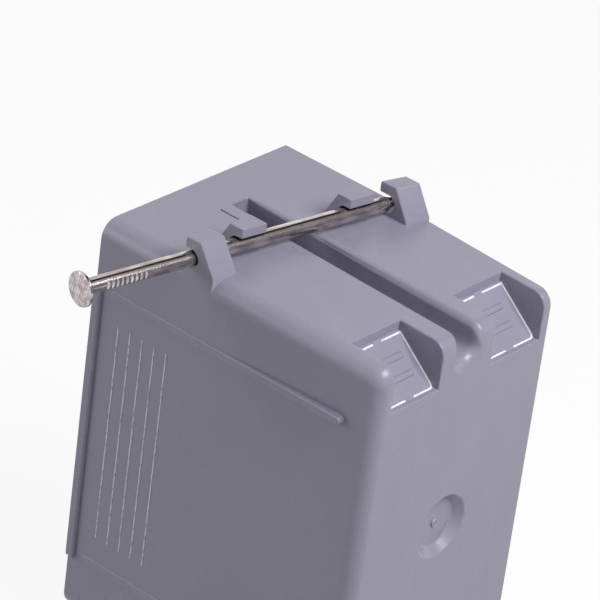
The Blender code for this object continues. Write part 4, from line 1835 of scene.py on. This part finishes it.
@dataclass
class Studio:
    """Pale floor, soft light and the camera of the photograph."""

    lamps: tuple[SoftLight, ...] = (
        SoftLight("key_light", (-0.06, 0.61, 0.79), 0.65, 0.32, 3.9),
        SoftLight("back_light", (0.22, 0.93, 0.1), 0.5, 0.25, 0.13),
        SoftLight("front_light", (0.55, -0.80, 0.25), 1.2, 0.8, 5.4))
    cards: tuple[Card, ...] = (
        Card("grey_card", 55, 0.95, (1.1, 2.1)), Card("black_card", 93, 0.85, (1.1, 0.30)),
        Card("low_card", -4, 0.8, (1.1, 0.14)))
    world_light: float = 0.13
    lamp_target: Triple = (0.028, 0.025, 0.0)
    floor_half: float = 6.0
    floor_height: float = -54.5 * MM
    camera_place: Triple = (0.598316, 0.463237, 0.444853)
    camera_rows: tuple[Triple, ...] = (
        (-0.661382, 0.741048, 0.115852), (-0.304359, -0.406330, 0.861546),
        (0.685521, 0.534550, 0.494284))
    lens: float = 242.53
    sensor: float = 36.0
    clip: Pair = (0.01, 50.0)

    def floor(self, bench: Bench) -> None:
        """Lay the floor under the box.

        Args:
            bench: Where the floor's material comes from.
        """
        mesh = bmesh.new()
        bmesh.ops.create_grid(mesh, x_segments=1, y_segments=1, size=self.floor_half)
        move(mesh, (0, 0, self.floor_height))
        obj = bare_object(mesh, "studio_floor")
        obj.data.materials.append(bench.material("paper"))

    def lamp(self, lamp: SoftLight) -> None:
        """Hang a lamp so that it looks at the box.

        Args:
            lamp: The lamp.
        """
        light = bpy.data.lights.new(lamp.name, "AREA")
        light.shape = "SQUARE"
        light.size = lamp.size
        light.energy = lamp.power
        obj = bpy.data.objects.new(lamp.name, light)
        bpy.context.scene.collection.objects.link(obj)
        away = Vector(lamp.towards).normalized()
        obj.location = Vector(self.lamp_target) + away * lamp.distance
        obj.rotation_euler = away.to_track_quat("Z", "Y").to_euler()

    def world(self) -> None:
        """White surroundings that light the box gently."""
        world = bpy.data.worlds.new("studio")
        bpy.context.scene.world = world
        world.use_nodes = True
        tree = world.node_tree
        background = tree.nodes["Background"]
        background.inputs["Color"].default_value = (1.0, 1.0, 1.0, 1.0)
        rays = tree.nodes.new("ShaderNodeLightPath")
        seen = rays.outputs["Is Camera Ray"]
        for name in ("Is Glossy Ray", "Is Transmission Ray"):
            top = tree.nodes.new("ShaderNodeMath")
            top.operation = "MAXIMUM"
            tree.links.new(seen, top.inputs[0])
            tree.links.new(rays.outputs[name], top.inputs[1])
            seen = top.outputs[0]
        level = tree.nodes.new("ShaderNodeMapRange")
        level.inputs["To Min"].default_value = self.world_light
        level.inputs["To Max"].default_value = 1.0
        tree.links.new(seen, level.inputs["Value"])
        tree.links.new(level.outputs[0], background.inputs["Strength"])

    def card(self, card: Card, bench: Bench) -> None:
        """Stand up a card that only shows in reflections, where the nails mirror it.

        Args:
            card: The card, whose name is also that of its finish.
            bench: Where the card's material comes from.
        """
        turn = math.radians(card.degrees)
        along = NAIL.run(1.0).normalized()
        level = along.cross(Z_AXIS)
        seen = Vector(self.camera_rows[2]).dot(along)
        across = level * math.cos(turn) + Z_AXIS * math.sin(turn)
        away = across * math.sqrt(1 - seen ** 2) - along * seen
        upright = Z_AXIS * math.cos(turn) - level * math.sin(turn)
        side = upright.cross(away).normalized()
        mesh = bmesh.new()
        bmesh.ops.create_grid(mesh, x_segments=1, y_segments=1, size=0.5)
        bmesh.ops.scale(mesh, vec=(*card.size, 1), verts=mesh.verts[:])
        lay = Matrix((side, away.cross(side), away)).transposed().to_4x4()
        laid(mesh, Matrix.Translation(away * card.distance) @ lay)
        obj = bare_object(mesh, card.name)
        obj.data.materials.append(bench.material(card.name))
        obj.visible_camera = obj.visible_diffuse = obj.visible_shadow = False

    def camera(self) -> None:
        """Set up the camera."""
        data = bpy.data.cameras.new("photo_camera")
        data.lens = self.lens
        data.sensor_width = self.sensor
        data.clip_start, data.clip_end = self.clip
        obj = bpy.data.objects.new("photo_camera", data)
        bpy.context.scene.collection.objects.link(obj)
        turn = Matrix(self.camera_rows).transposed().to_4x4()
        obj.matrix_world = Matrix.Translation(self.camera_place) @ turn
        bpy.context.scene.camera = obj

    def build(self, bench: Bench) -> None:
        """Set up the whole studio.

        Args:
            bench: Where the materials come from.
        """
        self.floor(bench)
        self.world()
        for lamp in self.lamps:
            self.lamp(lamp)
        for card in self.cards:
            self.card(card, bench)
        self.camera()
        bpy.context.scene.view_settings.view_transform = "Standard"


FINISHES = {
    "plastic": MouldedPlastic("moulded_plastic", (0.305, 0.295, 0.382),
                              (0.326, 0.316, 0.403), (0.292, 0.282, 0.366), 0.29),
    "rubbed_plastic": RubbedPlastic("rubbed_plastic", (0.80, 0.80, 0.88),
                                    (0.45, 0.44, 0.52)),
    # Pale film colour that paints the light seen through the knockout slits
    "slit_light_film": RubbedPlastic("painted_slit_light", (0.86, 0.86, 0.90), (0.74, 0.73, 0.79)),
    # The third colour is the nails' grime and painted shade in recesses and underneath
    "steel": PlatedSteel("plated_steel", (0.70, 0.64, 0.65), (0.44, 0.37, 0.38),
                         (0.10, 0.08, 0.075), 0.11, NAIL.skew),
    # Glowing cards seen only in the nails' reflections: painted reflections
    "grey_card": CardBoard("grey_board", 0.29),
    "black_card": CardBoard("black_board", 0.02),
    "low_card": CardBoard("low_board", 0.03),
    "paper": StudioPaper("studio_paper", (0.42, 0.42, 0.43), (0.94, 0.94, 0.94), 0.09),
}


def main() -> None:
    """Build the dressed box and its studio."""
    logging.basicConfig(level=logging.INFO, format="%(message)s")
    bench = Bench(FINISHES)
    knockouts, tongue, dimple = Knockouts(), Tongue(), Dimple()
    Shell(knockouts, Groove(), tongue, ScrewBoss(), dimple).build(bench)
    for part in (knockouts, tongue, dimple, NailGuides(), SideDetails(), BoxNail()):
        part.build(bench)
    Studio().build(bench)


if __name__ == "__main__":
    main()
